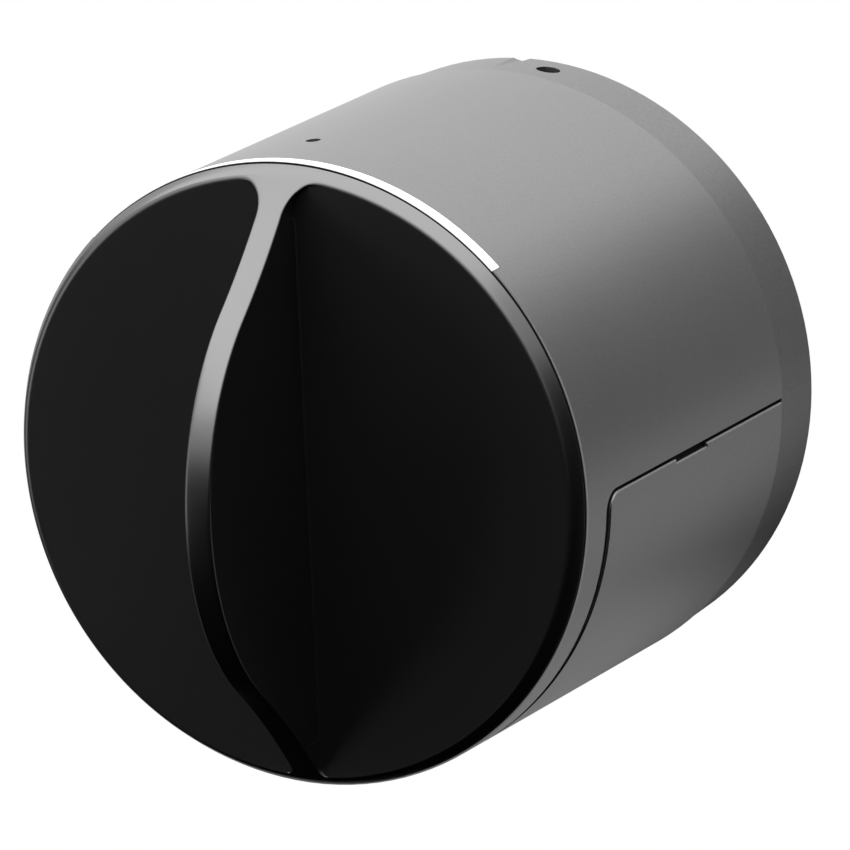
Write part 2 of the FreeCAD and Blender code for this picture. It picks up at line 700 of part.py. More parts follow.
def coupling_pin_hole():
    reach = COUPLING_R + AIR
    return Part.makeCylinder(PIN_R + SLIP / 4, 2 * reach,
                             FreeCAD.Vector(-reach, coupling_pin_y(), 0),
                             FreeCAD.Vector(1, 0, 0))


def coupling_pin():
    half = COUPLING_R - SLIP
    return Part.makeCylinder(PIN_R, 2 * half, FreeCAD.Vector(-half, coupling_pin_y(), 0),
                             FreeCAD.Vector(1, 0, 0))


def drive_coupling():
    """Output cup whose cross-shaped socket takes the adapter's tail."""
    shape = rod(COUPLING_R, COUPLING_FRONT_Y, COUPLING_REAR_Y)
    seat_end = COUPLING_REAR_Y - DRIVE_SLOT_DEPTH - SLIP
    shape = shape.cut(rod(SPINDLE_R + SLIP / 2, COUPLING_FRONT_Y, seat_end))
    depth = (COUPLING_REAR_Y - DRIVE_SLOT_DEPTH, COUPLING_REAR_Y)
    long_half = (-DRIVE_SLOT_LENGTH / 2, DRIVE_SLOT_LENGTH / 2)
    short_half = (-DRIVE_SLOT_WIDTH / 2, DRIVE_SLOT_WIDTH / 2)
    shape = shape.cut(block(long_half, depth, short_half))
    shape = shape.cut(block(short_half, depth, long_half))
    return shape.cut(coupling_pin_hole())


def idler_gear():
    shape = gear(IDLER_TEETH, IDLER_CENTRE, IDLER_PHASE, GEAR_FRONT_Y, GEAR_REAR_Y)
    return shape.cut(rod(IDLER_PIN_R + RUNNING, GEAR_FRONT_Y, GEAR_REAR_Y, IDLER_CENTRE))


def idler_pin():
    return rod(IDLER_PIN_R, BEZEL_Y + BEZEL_THICKNESS / 2, BAY_FRONT_Y, IDLER_CENTRE)


def motor_pinion():
    shape = gear(PINION_TEETH, MOTOR_CENTRE, PINION_PHASE, GEAR_FRONT_Y, GEAR_REAR_Y)
    return shape.cut(rod(OUTPUT_SHAFT_R, GEAR_FRONT_Y, GEAR_REAR_Y, MOTOR_CENTRE))


def output_shaft():
    return rod(OUTPUT_SHAFT_R, GEAR_FRONT_Y, BAY_FRONT_Y + SHAFT_SEAT, MOTOR_CENTRE)


# Front structure


def bezel_screw_centres():
    return [at_clock(BEZEL_BOSS_RADIUS, angle) for angle in BEZEL_BOSS_ANGLES]


def front_bezel():
    """Plate behind the knob that closes the gear chamber and holds the front bush."""
    shape = tube(CUP_R, HUB_R + RUNNING + BUSH_WALL, BEZEL_Y, CHAMBER_FRONT_Y)
    pocket = sector(LAMP_POCKET_R, BODY_R, STRIP_HALF_ANGLE,
                    BEZEL_Y - SLIP, CHAMBER_FRONT_Y + SLIP)
    shape = shape.cut(pocket)
    shape = shape.cut(rod(IDLER_PIN_R + SLIP / 2, BEZEL_Y + BEZEL_THICKNESS / 2,
                          CHAMBER_FRONT_Y, IDLER_CENTRE))
    for centre in bezel_screw_centres():
        shape = shape.cut(screw_hole(BEZEL_Y, BEZEL_SCREW_LENGTH, centre))
    return shape


def bezel_screws():
    return Part.makeCompound([screw(BEZEL_Y, BEZEL_SCREW_LENGTH, centre)
                              for centre in bezel_screw_centres()])


def front_bush():
    inner = HUB_R + RUNNING
    return tube(inner + BUSH_WALL, inner, BEZEL_Y, CHAMBER_FRONT_Y)


def gearbox_screw_centres():
    along = MOTOR_CENTRE.sub(IDLER_CENTRE)
    across = FreeCAD.Vector(along.z, 0, -along.x).normalize()
    return [MOTOR_CENTRE.add(FreeCAD.Vector(across).multiply(side * (GEARBOX_R - GEARBOX_SCREW_INSET)))
            for side in (-1, 1)]


def hall_span():
    centre = magnet_centres()[1]
    half = HALL_SIZE / 2
    return ((centre.x - half, centre.x + half), (centre.z - half, centre.z + half))


def front_bulkhead():
    """Cup that carries the gear train, the motor and the front battery contacts."""
    shape = rod(CUP_R, CHAMBER_FRONT_Y, BAY_FRONT_Y)
    shape = shape.cut(rod(CUP_R - CUP_WALL, CHAMBER_FRONT_Y, CHAMBER_REAR_Y))
    for centre in bezel_screw_centres():
        shape = shape.fuse(rod(BEZEL_BOSS_R, CHAMBER_FRONT_Y, CHAMBER_REAR_Y, centre))
        shape = shape.cut(rod(SCREW_HOLE_R, CHAMBER_FRONT_Y, BEZEL_Y + BEZEL_SCREW_LENGTH + AIR,
                              centre))
    shape = shape.cut(sector(LAMP_POCKET_R, BODY_R, STRIP_HALF_ANGLE, CHAMBER_FRONT_Y - SLIP,
                             FRONT_Y + STRIP_WIDTH + SLIP))
    shape = shape.cut(rod(SPINDLE_R + AIR, CHAMBER_REAR_Y, BAY_FRONT_Y))
    shape = shape.cut(rod(OUTPUT_SHAFT_R + AIR, CHAMBER_REAR_Y, BAY_FRONT_Y, MOTOR_CENTRE))
    shape = shape.cut(rod(IDLER_PIN_R, CHAMBER_REAR_Y, BAY_FRONT_Y, IDLER_CENTRE))
    for centre in gearbox_screw_centres():
        shape = shape.cut(screw_hole(CHAMBER_REAR_Y, GEARBOX_SCREW_LENGTH, centre))
    x, z = hall_span()
    return shape.cut(block((x[0] - SLIP, x[1] + SLIP),
                           (CHAMBER_REAR_Y, CHAMBER_REAR_Y + HALL_HEIGHT),
                           (z[0] - SLIP, z[1] + SLIP)))


def hall_sensor():
    x, z = hall_span()
    return block(x, (CHAMBER_REAR_Y + SLIP, CHAMBER_REAR_Y + HALL_HEIGHT), z)


def gearbox_screws():
    return Part.makeCompound([screw(CHAMBER_REAR_Y, GEARBOX_SCREW_LENGTH, centre)
                              for centre in gearbox_screw_centres()])


# Motor


def planetary_gearbox():
    rear = BAY_FRONT_Y + GEARBOX_LENGTH
    shape = rod(GEARBOX_R, BAY_FRONT_Y, rear, MOTOR_CENTRE)
    for stage in (1, 2):
        y = BAY_FRONT_Y + stage * GEARBOX_LENGTH / 3
        shape = shape.cut(tube(GEARBOX_R + GEARBOX_GROOVE, GEARBOX_R - GEARBOX_GROOVE,
                               y, y + GEARBOX_GROOVE, MOTOR_CENTRE))
    shape = shape.cut(rod(OUTPUT_SHAFT_R + RUNNING, BAY_FRONT_Y, BAY_FRONT_Y + SHAFT_SEAT + SLIP,
                          MOTOR_CENTRE))
    for centre in gearbox_screw_centres():
        shape = shape.cut(rod(SCREW_HOLE_R, BAY_FRONT_Y,
                              CHAMBER_REAR_Y + GEARBOX_SCREW_LENGTH + AIR, centre))
    return shape


def motor_can():
    front = BAY_FRONT_Y + GEARBOX_LENGTH
    shape = rod(MOTOR_R, front, front + MOTOR_LENGTH, MOTOR_CENTRE)
    rear_edges = [e for e in shape.Edges if abs(e.BoundBox.YMin - front - MOTOR_LENGTH) < 1e-6]
    return shape.makeFillet(ENDCAP_LENGTH / 4, rear_edges)


def motor_endcap():
    front = BAY_FRONT_Y + GEARBOX_LENGTH + MOTOR_LENGTH
    shape = rod(ENDCAP_R, front, front + ENDCAP_LENGTH, MOTOR_CENTRE)
    tab_y = (front, front + 2 * ENDCAP_LENGTH - AIR)
    tab_z = (MOTOR_CENTRE.z - TERMINAL_WIDTH / 2, MOTOR_CENTRE.z + TERMINAL_WIDTH / 2)
    for side in (-1, 1):
        middle = MOTOR_CENTRE.x + side * TERMINAL_OFFSET
        tab_x = (middle - TERMINAL_THICKNESS / 2, middle + TERMINAL_THICKNESS / 2)
        shape = shape.fuse(block(tab_x, tab_y, tab_z))
    return shape


# Batteries


def cell_centres():
    angles = [180 + CELL_SPACING * step for step in (-1.5, -0.5, 0.5, 1.5)]
    return [at_clock(CELL_RADIUS, angle) for angle in angles]


def battery_cell(centre, nub_to_front):
    front = (BAY_FRONT_Y + BAY_REAR_Y - CELL_LENGTH) / 2
    rear = front + CELL_LENGTH
    if nub_to_front:
        body = rod(CELL_R, front + CELL_NUB_LENGTH, rear, centre)
        nub = rod(CELL_NUB_R, front, front + CELL_NUB_LENGTH, centre)
    else:
        body = rod(CELL_R, front, rear - CELL_NUB_LENGTH, centre)
        nub = rod(CELL_NUB_R, rear - CELL_NUB_LENGTH, rear, centre)
    ends = [e for e in body.Edges if e.Closed]
    return body.makeFillet(CELL_EDGE_R, ends).fuse(nub)


def link_between(a, b, width, y_front, y_rear):
    """Flat bar of a given width from one cell centre to the next."""
    along = FreeCAD.Vector(b.sub(a)).normalize()
    side = FreeCAD.Vector(along.z, 0, -along.x).multiply(width / 2)
    corners = [a.add(side), b.add(side), b.sub(side), a.sub(side)]
    return polygon_rod([(p.x, p.z) for p in corners], y_front, y_rear)


def contact_plate(centres, y_front):
    """Sprung sheet contact that bridges neighbouring cells, in the plane at y_front."""
    half = CONTACT_WIDTH / 2
    y_rear = y_front + CONTACT_THICKNESS
    shape = None
    for centre in centres:
        pad = rod(half, y_front, y_rear, centre)
        shape = pad if shape is None else shape.fuse(pad)
    for a, b in zip(centres, centres[1:]):
        shape = shape.fuse(link_between(a, b, LINK_WIDTH, y_front, y_rear))
    return shape.removeSplitter()


def front_contacts():
    cells = cell_centres()
    groups = [cells[0:2], cells[2:4]]
    return Part.makeCompound([contact_plate(group, BAY_FRONT_Y) for group in groups])


def rear_contacts():
    cells = cell_centres()
    groups = [cells[0:1], cells[1:3], cells[3:4]]
    return Part.makeCompound([contact_plate(group, BAY_REAR_Y - CONTACT_THICKNESS)
                              for group in groups])


# Chassis


def post_centres():
    return [at_clock(POST_RADIUS, side * POST_ANGLE) for side in (-1, 1)]


def standoff_places():
    board_front = BAY_FRONT_Y + BOARD_INSET
    return [board_front + STANDOFF_FROM_ENDS, board_front + BOARD_LENGTH - STANDOFF_FROM_ENDS]


def battery_tray():
    """Chassis with a roof over the cells, a tunnel for the spindle and a cradle for the motor."""
    y = (BAY_FRONT_Y, BAY_REAR_Y)
    shape = rod(TRAY_R, *y).common(block((-BODY_R, BODY_R), y, (-BODY_R, TRAY_TOP_Z)))
    for centre in post_centres():
        post = rod(POST_R, y[0], y[1], centre)
        foot = block((centre.x - POST_R, centre.x + POST_R), y, (0, centre.z))
        shape = shape.fuse(post).fuse(foot)
    for place in standoff_places():
        pillar = Part.makeCylinder(STANDOFF_R, BOARD_Z - TRAY_TOP_Z + AIR,
                                   FreeCAD.Vector(STANDOFF_X, place, TRAY_TOP_Z - AIR),
                                   FreeCAD.Vector(0, 0, 1))
        shape = shape.fuse(pillar)
    cell_r = CELL_R + CELL_CLEARANCE
    for centre in cell_centres():
        shape = shape.cut(rod(cell_r, *y, centre))
        shape = shape.cut(block((centre.x - cell_r, centre.x + cell_r), y, (-BODY_R, centre.z)))
    cells = cell_centres()
    for a, b in zip(cells, cells[1:]):
        shape = shape.cut(link_between(a, b, LINK_WIDTH + 2 * AIR, *y))
    shape = shape.cut(block((-BODY_R, BODY_R), y, (-BODY_R, -CELL_RADIUS)))
    side_limit = CELL_RADIUS + CELL_R
    for side in (-1, 1):
        x = sorted((side * side_limit, side * BODY_R))
        shape = shape.cut(block(x, y, (-BODY_R, COVER_EDGE_Z + LATCH_RISE + AIR)))
    shape = shape.cut(rod(TUNNEL_R, *y))
    shape = shape.cut(rod(COUPLING_R + AIR, COUPLING_FRONT_Y - AIR, BAY_REAR_Y))
    motor_rear = BAY_FRONT_Y + GEARBOX_LENGTH + MOTOR_LENGTH + 2 * ENDCAP_LENGTH
    shape = shape.cut(rod(GEARBOX_R + SLIP, BAY_FRONT_Y, motor_rear, MOTOR_CENTRE))
    for place in standoff_places():
        hole = Part.makeCylinder(SCREW_HOLE_R, BOARD_SCREW_LENGTH,
                                 FreeCAD.Vector(STANDOFF_X, place, BOARD_TOP_Z - BOARD_SCREW_LENGTH),
                                 FreeCAD.Vector(0, 0, 1))
        shape = shape.cut(hole)
    for centre in post_centres():
        shape = shape.cut(rod(SCREW_HOLE_R, BAY_REAR_Y - CHASSIS_SCREW_LENGTH, BAY_REAR_Y, centre))
    return shape.removeSplitter()


# Circuit board


def board_y():
    front = BAY_FRONT_Y + BOARD_INSET
    return (front, front + BOARD_LENGTH)


def main_board():
    shape = block((BOARD_LEFT, BOARD_RIGHT), board_y(), (BOARD_Z, BOARD_TOP_Z))
    for place in standoff_places():
        hole = Part.makeCylinder(SCREW_HOLE_R, BOARD_THICKNESS,
                                 FreeCAD.Vector(STANDOFF_X, place, BOARD_Z),
                                 FreeCAD.Vector(0, 0, 1))
        shape = shape.cut(hole)
    return shape


def board_screws():
    """Screws that stand on the board and run down into the chassis pillars."""
    screws = []
    for place in standoff_places():
        upright = screw(0, BOARD_SCREW_LENGTH, ORIGIN, BOARD_SCREW_HEAD_R)
        upright.rotate(ORIGIN, FreeCAD.Vector(1, 0, 0), -90)
        upright.translate(FreeCAD.Vector(STANDOFF_X, place, BOARD_TOP_Z + SCREW_HEAD_HEIGHT))
        screws.append(upright)
    return Part.makeCompound(screws)


def on_board(size, x_centre, y_centre):
    """Component box that stands on the board's top face."""
    return block((x_centre - size[0] / 2, x_centre + size[0] / 2),
                 (y_centre - size[1] / 2, y_centre + size[1] / 2),
                 (BOARD_TOP_Z, BOARD_TOP_Z + size[2]))


def radio_module():
    rear = board_y()[1] - CHIP_FROM_END - CHIP_SIZE[1] / 2 - RADIO_TO_CHIP
    can = on_board(RADIO_SIZE, CHIPS_X, rear - RADIO_SIZE[1] / 2)
    top = [e for e in can.Edges if e.BoundBox.ZMin > BOARD_TOP_Z + RADIO_SIZE[2] / 2]
    return can.makeFillet(RADIO_EDGE_R, top)


def controller_chip():
    return on_board(CHIP_SIZE, CHIPS_X, board_y()[1] - CHIP_FROM_END)


def reset_axis():
    """Point on the board under the pinhole, and the direction out through it."""
    return at_clock(1.0, PINHOLE_ANGLE)


def switch_middle():
    radius = BOARD_TOP_Z / math.cos(math.radians(PINHOLE_ANGLE))
    return at_clock(radius, PINHOLE_ANGLE, FRONT_Y + PINHOLE_FROM_FRONT)


def reset_switch():
    """Push switch on the board, straight under the pinhole."""
    middle = switch_middle()
    half = SWITCH_SIZE / 2
    body = block((middle.x - half, middle.x + half), (middle.y - half, middle.y + half),
                 (middle.z, middle.z + SWITCH_HEIGHT))
    well = Part.makeCylinder(PLUNGER_R + RUNNING, 2 * SWITCH_HEIGHT,
                             middle.add(reset_axis().multiply(SWITCH_HEIGHT - PLUNGER_HEIGHT)),
                             reset_axis())
    return body.cut(well)


def reset_plunger():
    middle = switch_middle()
    start = SWITCH_HEIGHT - PLUNGER_HEIGHT + PLUNGER_TRAVEL + SLIP
    tip = Part.makeCylinder(PLUNGER_R, PLUNGER_HEIGHT + PLUNGER_TRAVEL + SLIP,
                            middle.add(reset_axis().multiply(start)), reset_axis())
    return tip


# Rear structure


def rear_screw_centres():
    return [at_clock(REAR_SCREW_RADIUS, angle) for angle in REAR_SCREW_ANGLES]


def alignment_scoop():
    """Sloping round cutter that is deepest at the ring's rear edge and runs out forwards."""
    round_r = (GROOVE_HALF_WIDTH**2 + GROOVE_DEPTH**2) / (2 * GROOVE_DEPTH)
    surface_rise = RING_TAPER * GROOVE_LENGTH / RING_LENGTH
    slope = (GROOVE_DEPTH + surface_rise) / GROOVE_LENGTH
    centre_r = RING_REAR_R - GROOVE_DEPTH + round_r
    base = at_clock(centre_r - slope * WALL, GROOVE_ANGLE, WALL)
    direction = at_clock(slope, GROOVE_ANGLE, -1.0)
    return Part.makeCylinder(round_r, RING_LENGTH + WALL, base, direction)


def rear_ring():
    """Tapered ring that grips the door adapter, with its set screw and alignment groove."""
    edges = [
        straight((SOCKET_R, 0), (RING_REAR_R - EDGE_CHAMFER, 0)),
        straight((RING_REAR_R - EDGE_CHAMFER, 0), (RING_REAR_R, -EDGE_CHAMFER)),
        straight((RING_REAR_R, -EDGE_CHAMFER), (RING_FRONT_R, RING_Y)),
        straight((RING_FRONT_R, RING_Y), (BULKHEAD_R + SLIP, RING_Y)),
        straight((BULKHEAD_R + SLIP, RING_Y), (BULKHEAD_R + SLIP, -SOCKET_DEPTH)),
        straight((BULKHEAD_R + SLIP, -SOCKET_DEPTH), (SOCKET_R, -SOCKET_DEPTH)),
        straight((SOCKET_R, -SOCKET_DEPTH), (SOCKET_R, 0)),
    ]
    shape = revolved(edges)
    shape = shape.cut(radial_rod(SET_HOLE_R, SOCKET_R - WALL, BODY_R + WALL,
                                 SET_HOLE_ANGLE, -SET_HOLE_FROM_REAR))
    shape = shape.cut(alignment_scoop())
    for centre in rear_screw_centres():
        shape = shape.cut(screw_hole(0, REAR_SCREW_LENGTH, centre, -1))
    return shape


def set_screw():
    """Headless screw with a hexagon socket that clamps the adapter."""
    inner = SOCKET_R + SLIP
    shape = radial_rod(SET_SCREW_R, inner, inner + SET_SCREW_LENGTH,
                       SET_HOLE_ANGLE, -SET_HOLE_FROM_REAR)
    corner_r = HEX_ACROSS / math.sqrt(3)
    corners = [FreeCAD.Vector(corner_r * math.sin(math.radians(60 * k)),
                              corner_r * math.cos(math.radians(60 * k)), 0) for k in range(6)]
    key = Part.Face(Part.makePolygon(corners + corners[:1]))
    key = key.extrude(FreeCAD.Vector(0, 0, SET_SCREW_LENGTH / 3))
    key.translate(FreeCAD.Vector(0, -SET_HOLE_FROM_REAR, inner + SET_SCREW_LENGTH * 2 / 3))
    return shape.cut(turned(key, SET_HOLE_ANGLE))


def rear_screws():
    return Part.makeCompound([screw(0, REAR_SCREW_LENGTH, centre, towards=-1)
                              for centre in rear_screw_centres()])


def rear_bulkhead():
    """Plate behind the cells that carries the rear bush and the rear contacts."""
    shape = tube(BULKHEAD_R, COUPLING_R + RUNNING + BUSH_WALL, BAY_REAR_Y, -SOCKET_DEPTH)
    for centre in rear_screw_centres():
        shape = shape.cut(rod(SCREW_HOLE_R, BAY_REAR_Y, -SOCKET_DEPTH, centre))
    for centre in post_centres():
        shape = shape.cut(screw_hole(-SOCKET_DEPTH, CHASSIS_SCREW_LENGTH, centre, -1))
    return shape


def chassis_screws():
    return Part.makeCompound([screw(-SOCKET_DEPTH, CHASSIS_SCREW_LENGTH, centre, towards=-1)
                              for centre in post_centres()])


def rear_bush():
    inner = COUPLING_R + RUNNING
    return tube(inner + BUSH_WALL, inner, BAY_REAR_Y, -SOCKET_DEPTH)


PARTS = {
    "housing_shell": housing_shell,
    "light_guide": light_guide,
    "led_board": led_board,
    "status_leds": status_leds,
    "front_bezel": front_bezel,
    "bezel_screws": bezel_screws,
    "front_bush": front_bush,
    "front_bulkhead": front_bulkhead,
    "idler_pin": idler_pin,
    "hall_sensor": hall_sensor,
    "gearbox_screws": gearbox_screws,
    "planetary_gearbox": planetary_gearbox,
    "motor_can": motor_can,
    "motor_endcap": motor_endcap,
    "battery_tray": battery_tray,
    "front_contacts": front_contacts,
    "rear_contacts": rear_contacts,
    "main_board": main_board,
    "board_screws": board_screws,
    "radio_module": radio_module,
    "controller_chip": controller_chip,
    "reset_switch": reset_switch,
    "rear_bulkhead": rear_bulkhead,
    "rear_bush": rear_bush,
    "chassis_screws": chassis_screws,
    "rear_ring": rear_ring,
    "rear_screws": rear_screws,
    "set_screw": set_screw,
    "battery_cover": battery_cover,
    "cover_latches": cover_latches,
    "knob": knob,
    "main_gear": main_gear,
    "knob_screws": knob_screws,
    "position_magnets": position_magnets,
    "spindle": spindle,
    "spindle_clip": spindle_clip,
    "drive_coupling": drive_coupling,
    "coupling_pin": coupling_pin,
    "idler_gear": idler_gear,
    "motor_pinion": motor_pinion,
    "output_shaft": output_shaft,
    "reset_plunger": reset_plunger,
}


def export(name, shape):
    if not shape.isValid() or not shape.Solids:
        raise ValueError(name + " is not a sound solid")
    shape.exportStep("parts/" + name + ".step")
    print(name, len(shape.Solids), "solids", round(shape.Volume, 2), "mm3")


os.makedirs("parts", exist_ok=True)
for node, make in PARTS.items():
    export(node, make())
for index, centre in enumerate(cell_centres()):
    export("battery_cell_" + str(index + 1), battery_cell(centre, index % 2 == 0))
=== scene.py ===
import math

import bpy
from mathutils import Matrix, Vector


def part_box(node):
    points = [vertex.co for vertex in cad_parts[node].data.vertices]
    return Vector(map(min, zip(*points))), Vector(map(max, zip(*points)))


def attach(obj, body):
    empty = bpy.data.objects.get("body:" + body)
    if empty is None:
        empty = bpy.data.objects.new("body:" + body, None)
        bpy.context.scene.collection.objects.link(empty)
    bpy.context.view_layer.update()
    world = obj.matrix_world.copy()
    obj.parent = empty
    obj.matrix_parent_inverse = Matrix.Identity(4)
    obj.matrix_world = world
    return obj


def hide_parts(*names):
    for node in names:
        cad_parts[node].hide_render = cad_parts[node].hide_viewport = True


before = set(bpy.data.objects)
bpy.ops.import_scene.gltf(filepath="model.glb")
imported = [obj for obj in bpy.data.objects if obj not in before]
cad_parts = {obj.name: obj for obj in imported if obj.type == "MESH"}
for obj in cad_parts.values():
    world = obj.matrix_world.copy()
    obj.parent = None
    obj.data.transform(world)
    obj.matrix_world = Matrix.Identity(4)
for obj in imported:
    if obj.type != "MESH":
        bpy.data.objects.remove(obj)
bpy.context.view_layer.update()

bl_info = {
    "name": "Door lock dressing",
    "version": (1, 0, 0),
    "blender": (4, 5, 0),
    "location": "3D View > Sidebar > Door Lock",
    "description": "Fine shapes, finishes and studio for the round motor lock",
    "category": "Object",
}

MM = 0.001
FINISH_MARK = "_finish"

# Clock angles are in degrees from 12 o'clock, clockwise seen from the front.
# Heights of the knob are measured forwards from the housing's front edge.
FRONT_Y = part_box("housing_shell")[0].y
BODY_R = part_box("housing_shell")[1].x


# Shader maths


class Number:
    """A node's number output, on which arithmetic adds Math nodes."""

    def __init__(self, finish, socket):
        self.finish = finish
        self.socket = socket

    def joined(self, operation, first, second=0.0):
        made = self.finish.node("ShaderNodeMath", {"operation": operation},
                                {0: first, 1: second})
        return Number(self.finish, made.outputs[0])

    def __add__(self, other):
        return self.joined("ADD", self, other)

    __radd__ = __add__

    def __sub__(self, other):
        return self.joined("SUBTRACT", self, other)

    def __rsub__(self, other):
        return self.joined("SUBTRACT", other, self)

    def __mul__(self, other):
        return self.joined("MULTIPLY", self, other)

    __rmul__ = __mul__

    def __pow__(self, other):
        return self.joined("POWER", self, other)

    def larger(self, other):
        return self.joined("MAXIMUM", self, other)

    def between(self, low, high):
        """0 below low, 1 above high, and a soft step in between."""
        made = self.finish.node(
            "ShaderNodeMapRange", {"interpolation_type": "SMOOTHSTEP"},
            {"Value": self, "From Min": low, "From Max": high})
        return Number(self.finish, made.outputs[0])


class NodeTree:
    """A node tree on its way, with the one method that adds any node."""

    def __init__(self, tree):
        self.tree = tree
        self.tree.nodes.clear()

    def node(self, kind, settings=None, sockets=None):
        made = self.tree.nodes.new(kind)
        for name, value in (settings or {}).items():
            setattr(made, name, value)
        for name, value in (sockets or {}).items():
            value = value.socket if isinstance(value, Number) else value
            if isinstance(value, bpy.types.NodeSocket):
                self.tree.links.new(value, made.inputs[name])
            else:
                made.inputs[name].default_value = value
        return made

    def ray(self):
        """1 for the rays that see the background: camera, glossy and transmission rays."""
        path = self.node("ShaderNodeLightPath").outputs
        seen = Number(self, path["Is Camera Ray"]).larger(path["Is Glossy Ray"])
        return seen.larger(path["Is Transmission Ray"])


class Finish(NodeTree):
    """A material with one Principled surface."""

    def __init__(self, name, **shader):
        self.material = bpy.data.materials.new(name + FINISH_MARK)
        self.material.use_nodes = True
        super().__init__(self.material.node_tree)
        self.surface = self.node("ShaderNodeBsdfPrincipled")
        self.output = self.node("ShaderNodeOutputMaterial", {},
                                {"Surface": self.surface.outputs["BSDF"]})
        self.place = self.node("ShaderNodeTexCoord").outputs["Object"]
        self.set(**shader)

    def set(self, **values):
        """Values or links of the surface's sockets, named with _ for a space."""
        for name, value in values.items():
            socket = self.surface.inputs[name.replace("_", " ").title().replace("Ior", "IOR")]
            if isinstance(value, Number):
                value = value.socket
            if isinstance(value, bpy.types.NodeSocket):
                self.tree.links.new(value, socket)
            elif socket.type == "RGBA":
                socket.default_value = (*value, 1.0)
            else:
                socket.default_value = value

    def axis(self, name):
        made = self.node("ShaderNodeSeparateXYZ", {}, {"Vector": self.place})
        return Number(self, made.outputs[name])

    def from_axis(self):
        """Distance from the lock's axis."""
        x, z = self.axis("X"), self.axis("Z")
        return (x * x + z * z) ** 0.5

    def noise(self, scale, detail=2.0, stretch=(1.0, 1.0, 1.0)):
        place = self.node("ShaderNodeMapping", {}, {"Vector": self.place, "Scale": stretch})
        made = self.node("ShaderNodeTexNoise", {}, {
            "Vector": place.outputs[0], "Scale": scale, "Detail": detail})
        return Number(self, made.outputs["Fac"])

    def cells(self, scale):
        made = self.node("ShaderNodeTexVoronoi", {}, {"Vector": self.place, "Scale": scale})
        return Number(self, made.outputs["Distance"])

    def blend(self, share, first, second):
        """Colour first at share 0, second at share 1."""
        sockets = {0: share}
        for place, value in ((6, first), (7, second)):
            sockets[place] = value if isinstance(value, bpy.types.NodeSocket) else (*value, 1.0)
        made = self.node("ShaderNodeMix", {"data_type": "RGBA"}, sockets)
        return made.outputs[2]

    def relief(self, height, depth, strength=1.0):
        """Bump whose full height is depth, in metres."""
        made = self.node("ShaderNodeBump", {}, {
            "Height": height, "Distance": depth, "Strength": strength})
        self.set(normal=made.outputs[0])


def shaded(colour, share):
    return tuple(min(1.0, share * c) for c in colour)


# Finishes


# The black within the skin's radius is painted shade: it darkens the gaps, slots and holes in
# and between the parts. The roughness below is that of this black.
PAINTED_SHADE_BLACK = (0.003, 0.003, 0.003)
INSIDE_ROUGHNESS = 0.9
# A painted highlight: a thin pale line on the housing's front edge stands in for light off an
# edge chamfer.
EDGE_HIGHLIGHT_COLOUR = (0.4, 0.4, 0.4)
HIGHLIGHT_DEPTH = (0.01 * MM, 0.03 * MM)     # of the painted highlight on the front edge, behind the front face
SKIN_DEPTH = 0.12 * MM                  # over which the skin goes over to the black painted shade inside
RING_FALL = 0.9 * MM                    # that the ring's skin may lie inside the body's radius
GRAIN_SCALE = 5600


def skin_roughness(outside, roughness, cloud, grain):
    """Dull where the black painted shade lies inside, and a lightly uneven skin outside."""
    return (INSIDE_ROUGHNESS - outside * (INSIDE_ROUGHNESS - roughness) + (cloud - 0.5) * 0.05
            + (grain - 0.5) * 0.08)


def blasted_aluminium(name, colour, roughness, grain_size=1.0):
    """Bead-blasted and anodised skin: fine grains, faintly uneven, with black painted shade
    within.
    """
    finish = Finish(name)
    grain = finish.noise(GRAIN_SCALE / grain_size, 2.0)
    cloud = finish.noise(45, 2.0)
    sparkle = grain.between(0.25, 0.75)
    skin_r = BODY_R - RING_FALL
    # Within the skin's radius the colour is black painted shade, which darkens the ring's hole
    # and inner faces.
    outside = finish.from_axis().between(skin_r - SKIN_DEPTH, skin_r)
    skin = finish.blend(sparkle * 0.7 + cloud * 0.3,
                        shaded(colour, 0.88), shaded(colour, 1.12))
    finish.set(base_color=finish.blend(outside, PAINTED_SHADE_BLACK, skin), metallic=outside,
               roughness=skin_roughness(outside, roughness, cloud, grain))
    finish.relief(grain, 4e-6, 0.35)
    return finish.material


def anodised_shell(name, colour, roughness):
    """The housing's and the cover's skin: blasted outside, a painted highlight on the front
    edge, black painted shade inside.
    """
    finish = Finish(name)
    grain = finish.noise(GRAIN_SCALE, 2.0)
    cloud = finish.noise(45, 2.0)
    # Within the skin's radius the colour is black painted shade, which darkens the gaps, slots
    # and notches.
    outside = finish.from_axis().between(BODY_R - 1.6 * SKIN_DEPTH, BODY_R - 1.2 * SKIN_DEPTH)
    front = finish.axis("Y").between(FRONT_Y + HIGHLIGHT_DEPTH[0], FRONT_Y + HIGHLIGHT_DEPTH[1])
    # A painted highlight: the skin turns pale and less metallic in a thin band at the front
    # edge.
    painted_edge_highlight = outside * (1.0 - front)
    skin = finish.blend(grain.between(0.25, 0.75) * 0.7 + cloud * 0.3,
                        shaded(colour, 0.9), shaded(colour, 1.1))
    skin = finish.blend(painted_edge_highlight, skin, EDGE_HIGHLIGHT_COLOUR)
    finish.set(base_color=finish.blend(outside, PAINTED_SHADE_BLACK, skin),
               metallic=outside - painted_edge_highlight * 0.8,
               roughness=skin_roughness(outside, roughness, cloud, grain))
    finish.relief(grain, 4e-6, 0.35)
    return finish.material


def satin_black(name, colour, roughness):
    """Black satin coat on the knob, dead even but for a very fine tooth."""
    finish = Finish(name, ior=2.35)
    tooth = finish.noise(6500, 2.0)
    cloud = finish.noise(35, 2.0)
    finish.set(base_color=finish.blend(tooth * 0.6 + cloud * 0.4,
                                       shaded(colour, 0.75), shaded(colour, 1.3)),
               roughness=roughness + (cloud - 0.5) * 0.04 + (tooth - 0.5) * 0.06)
    finish.relief(tooth, 2e-6, 0.4)
    return finish.material


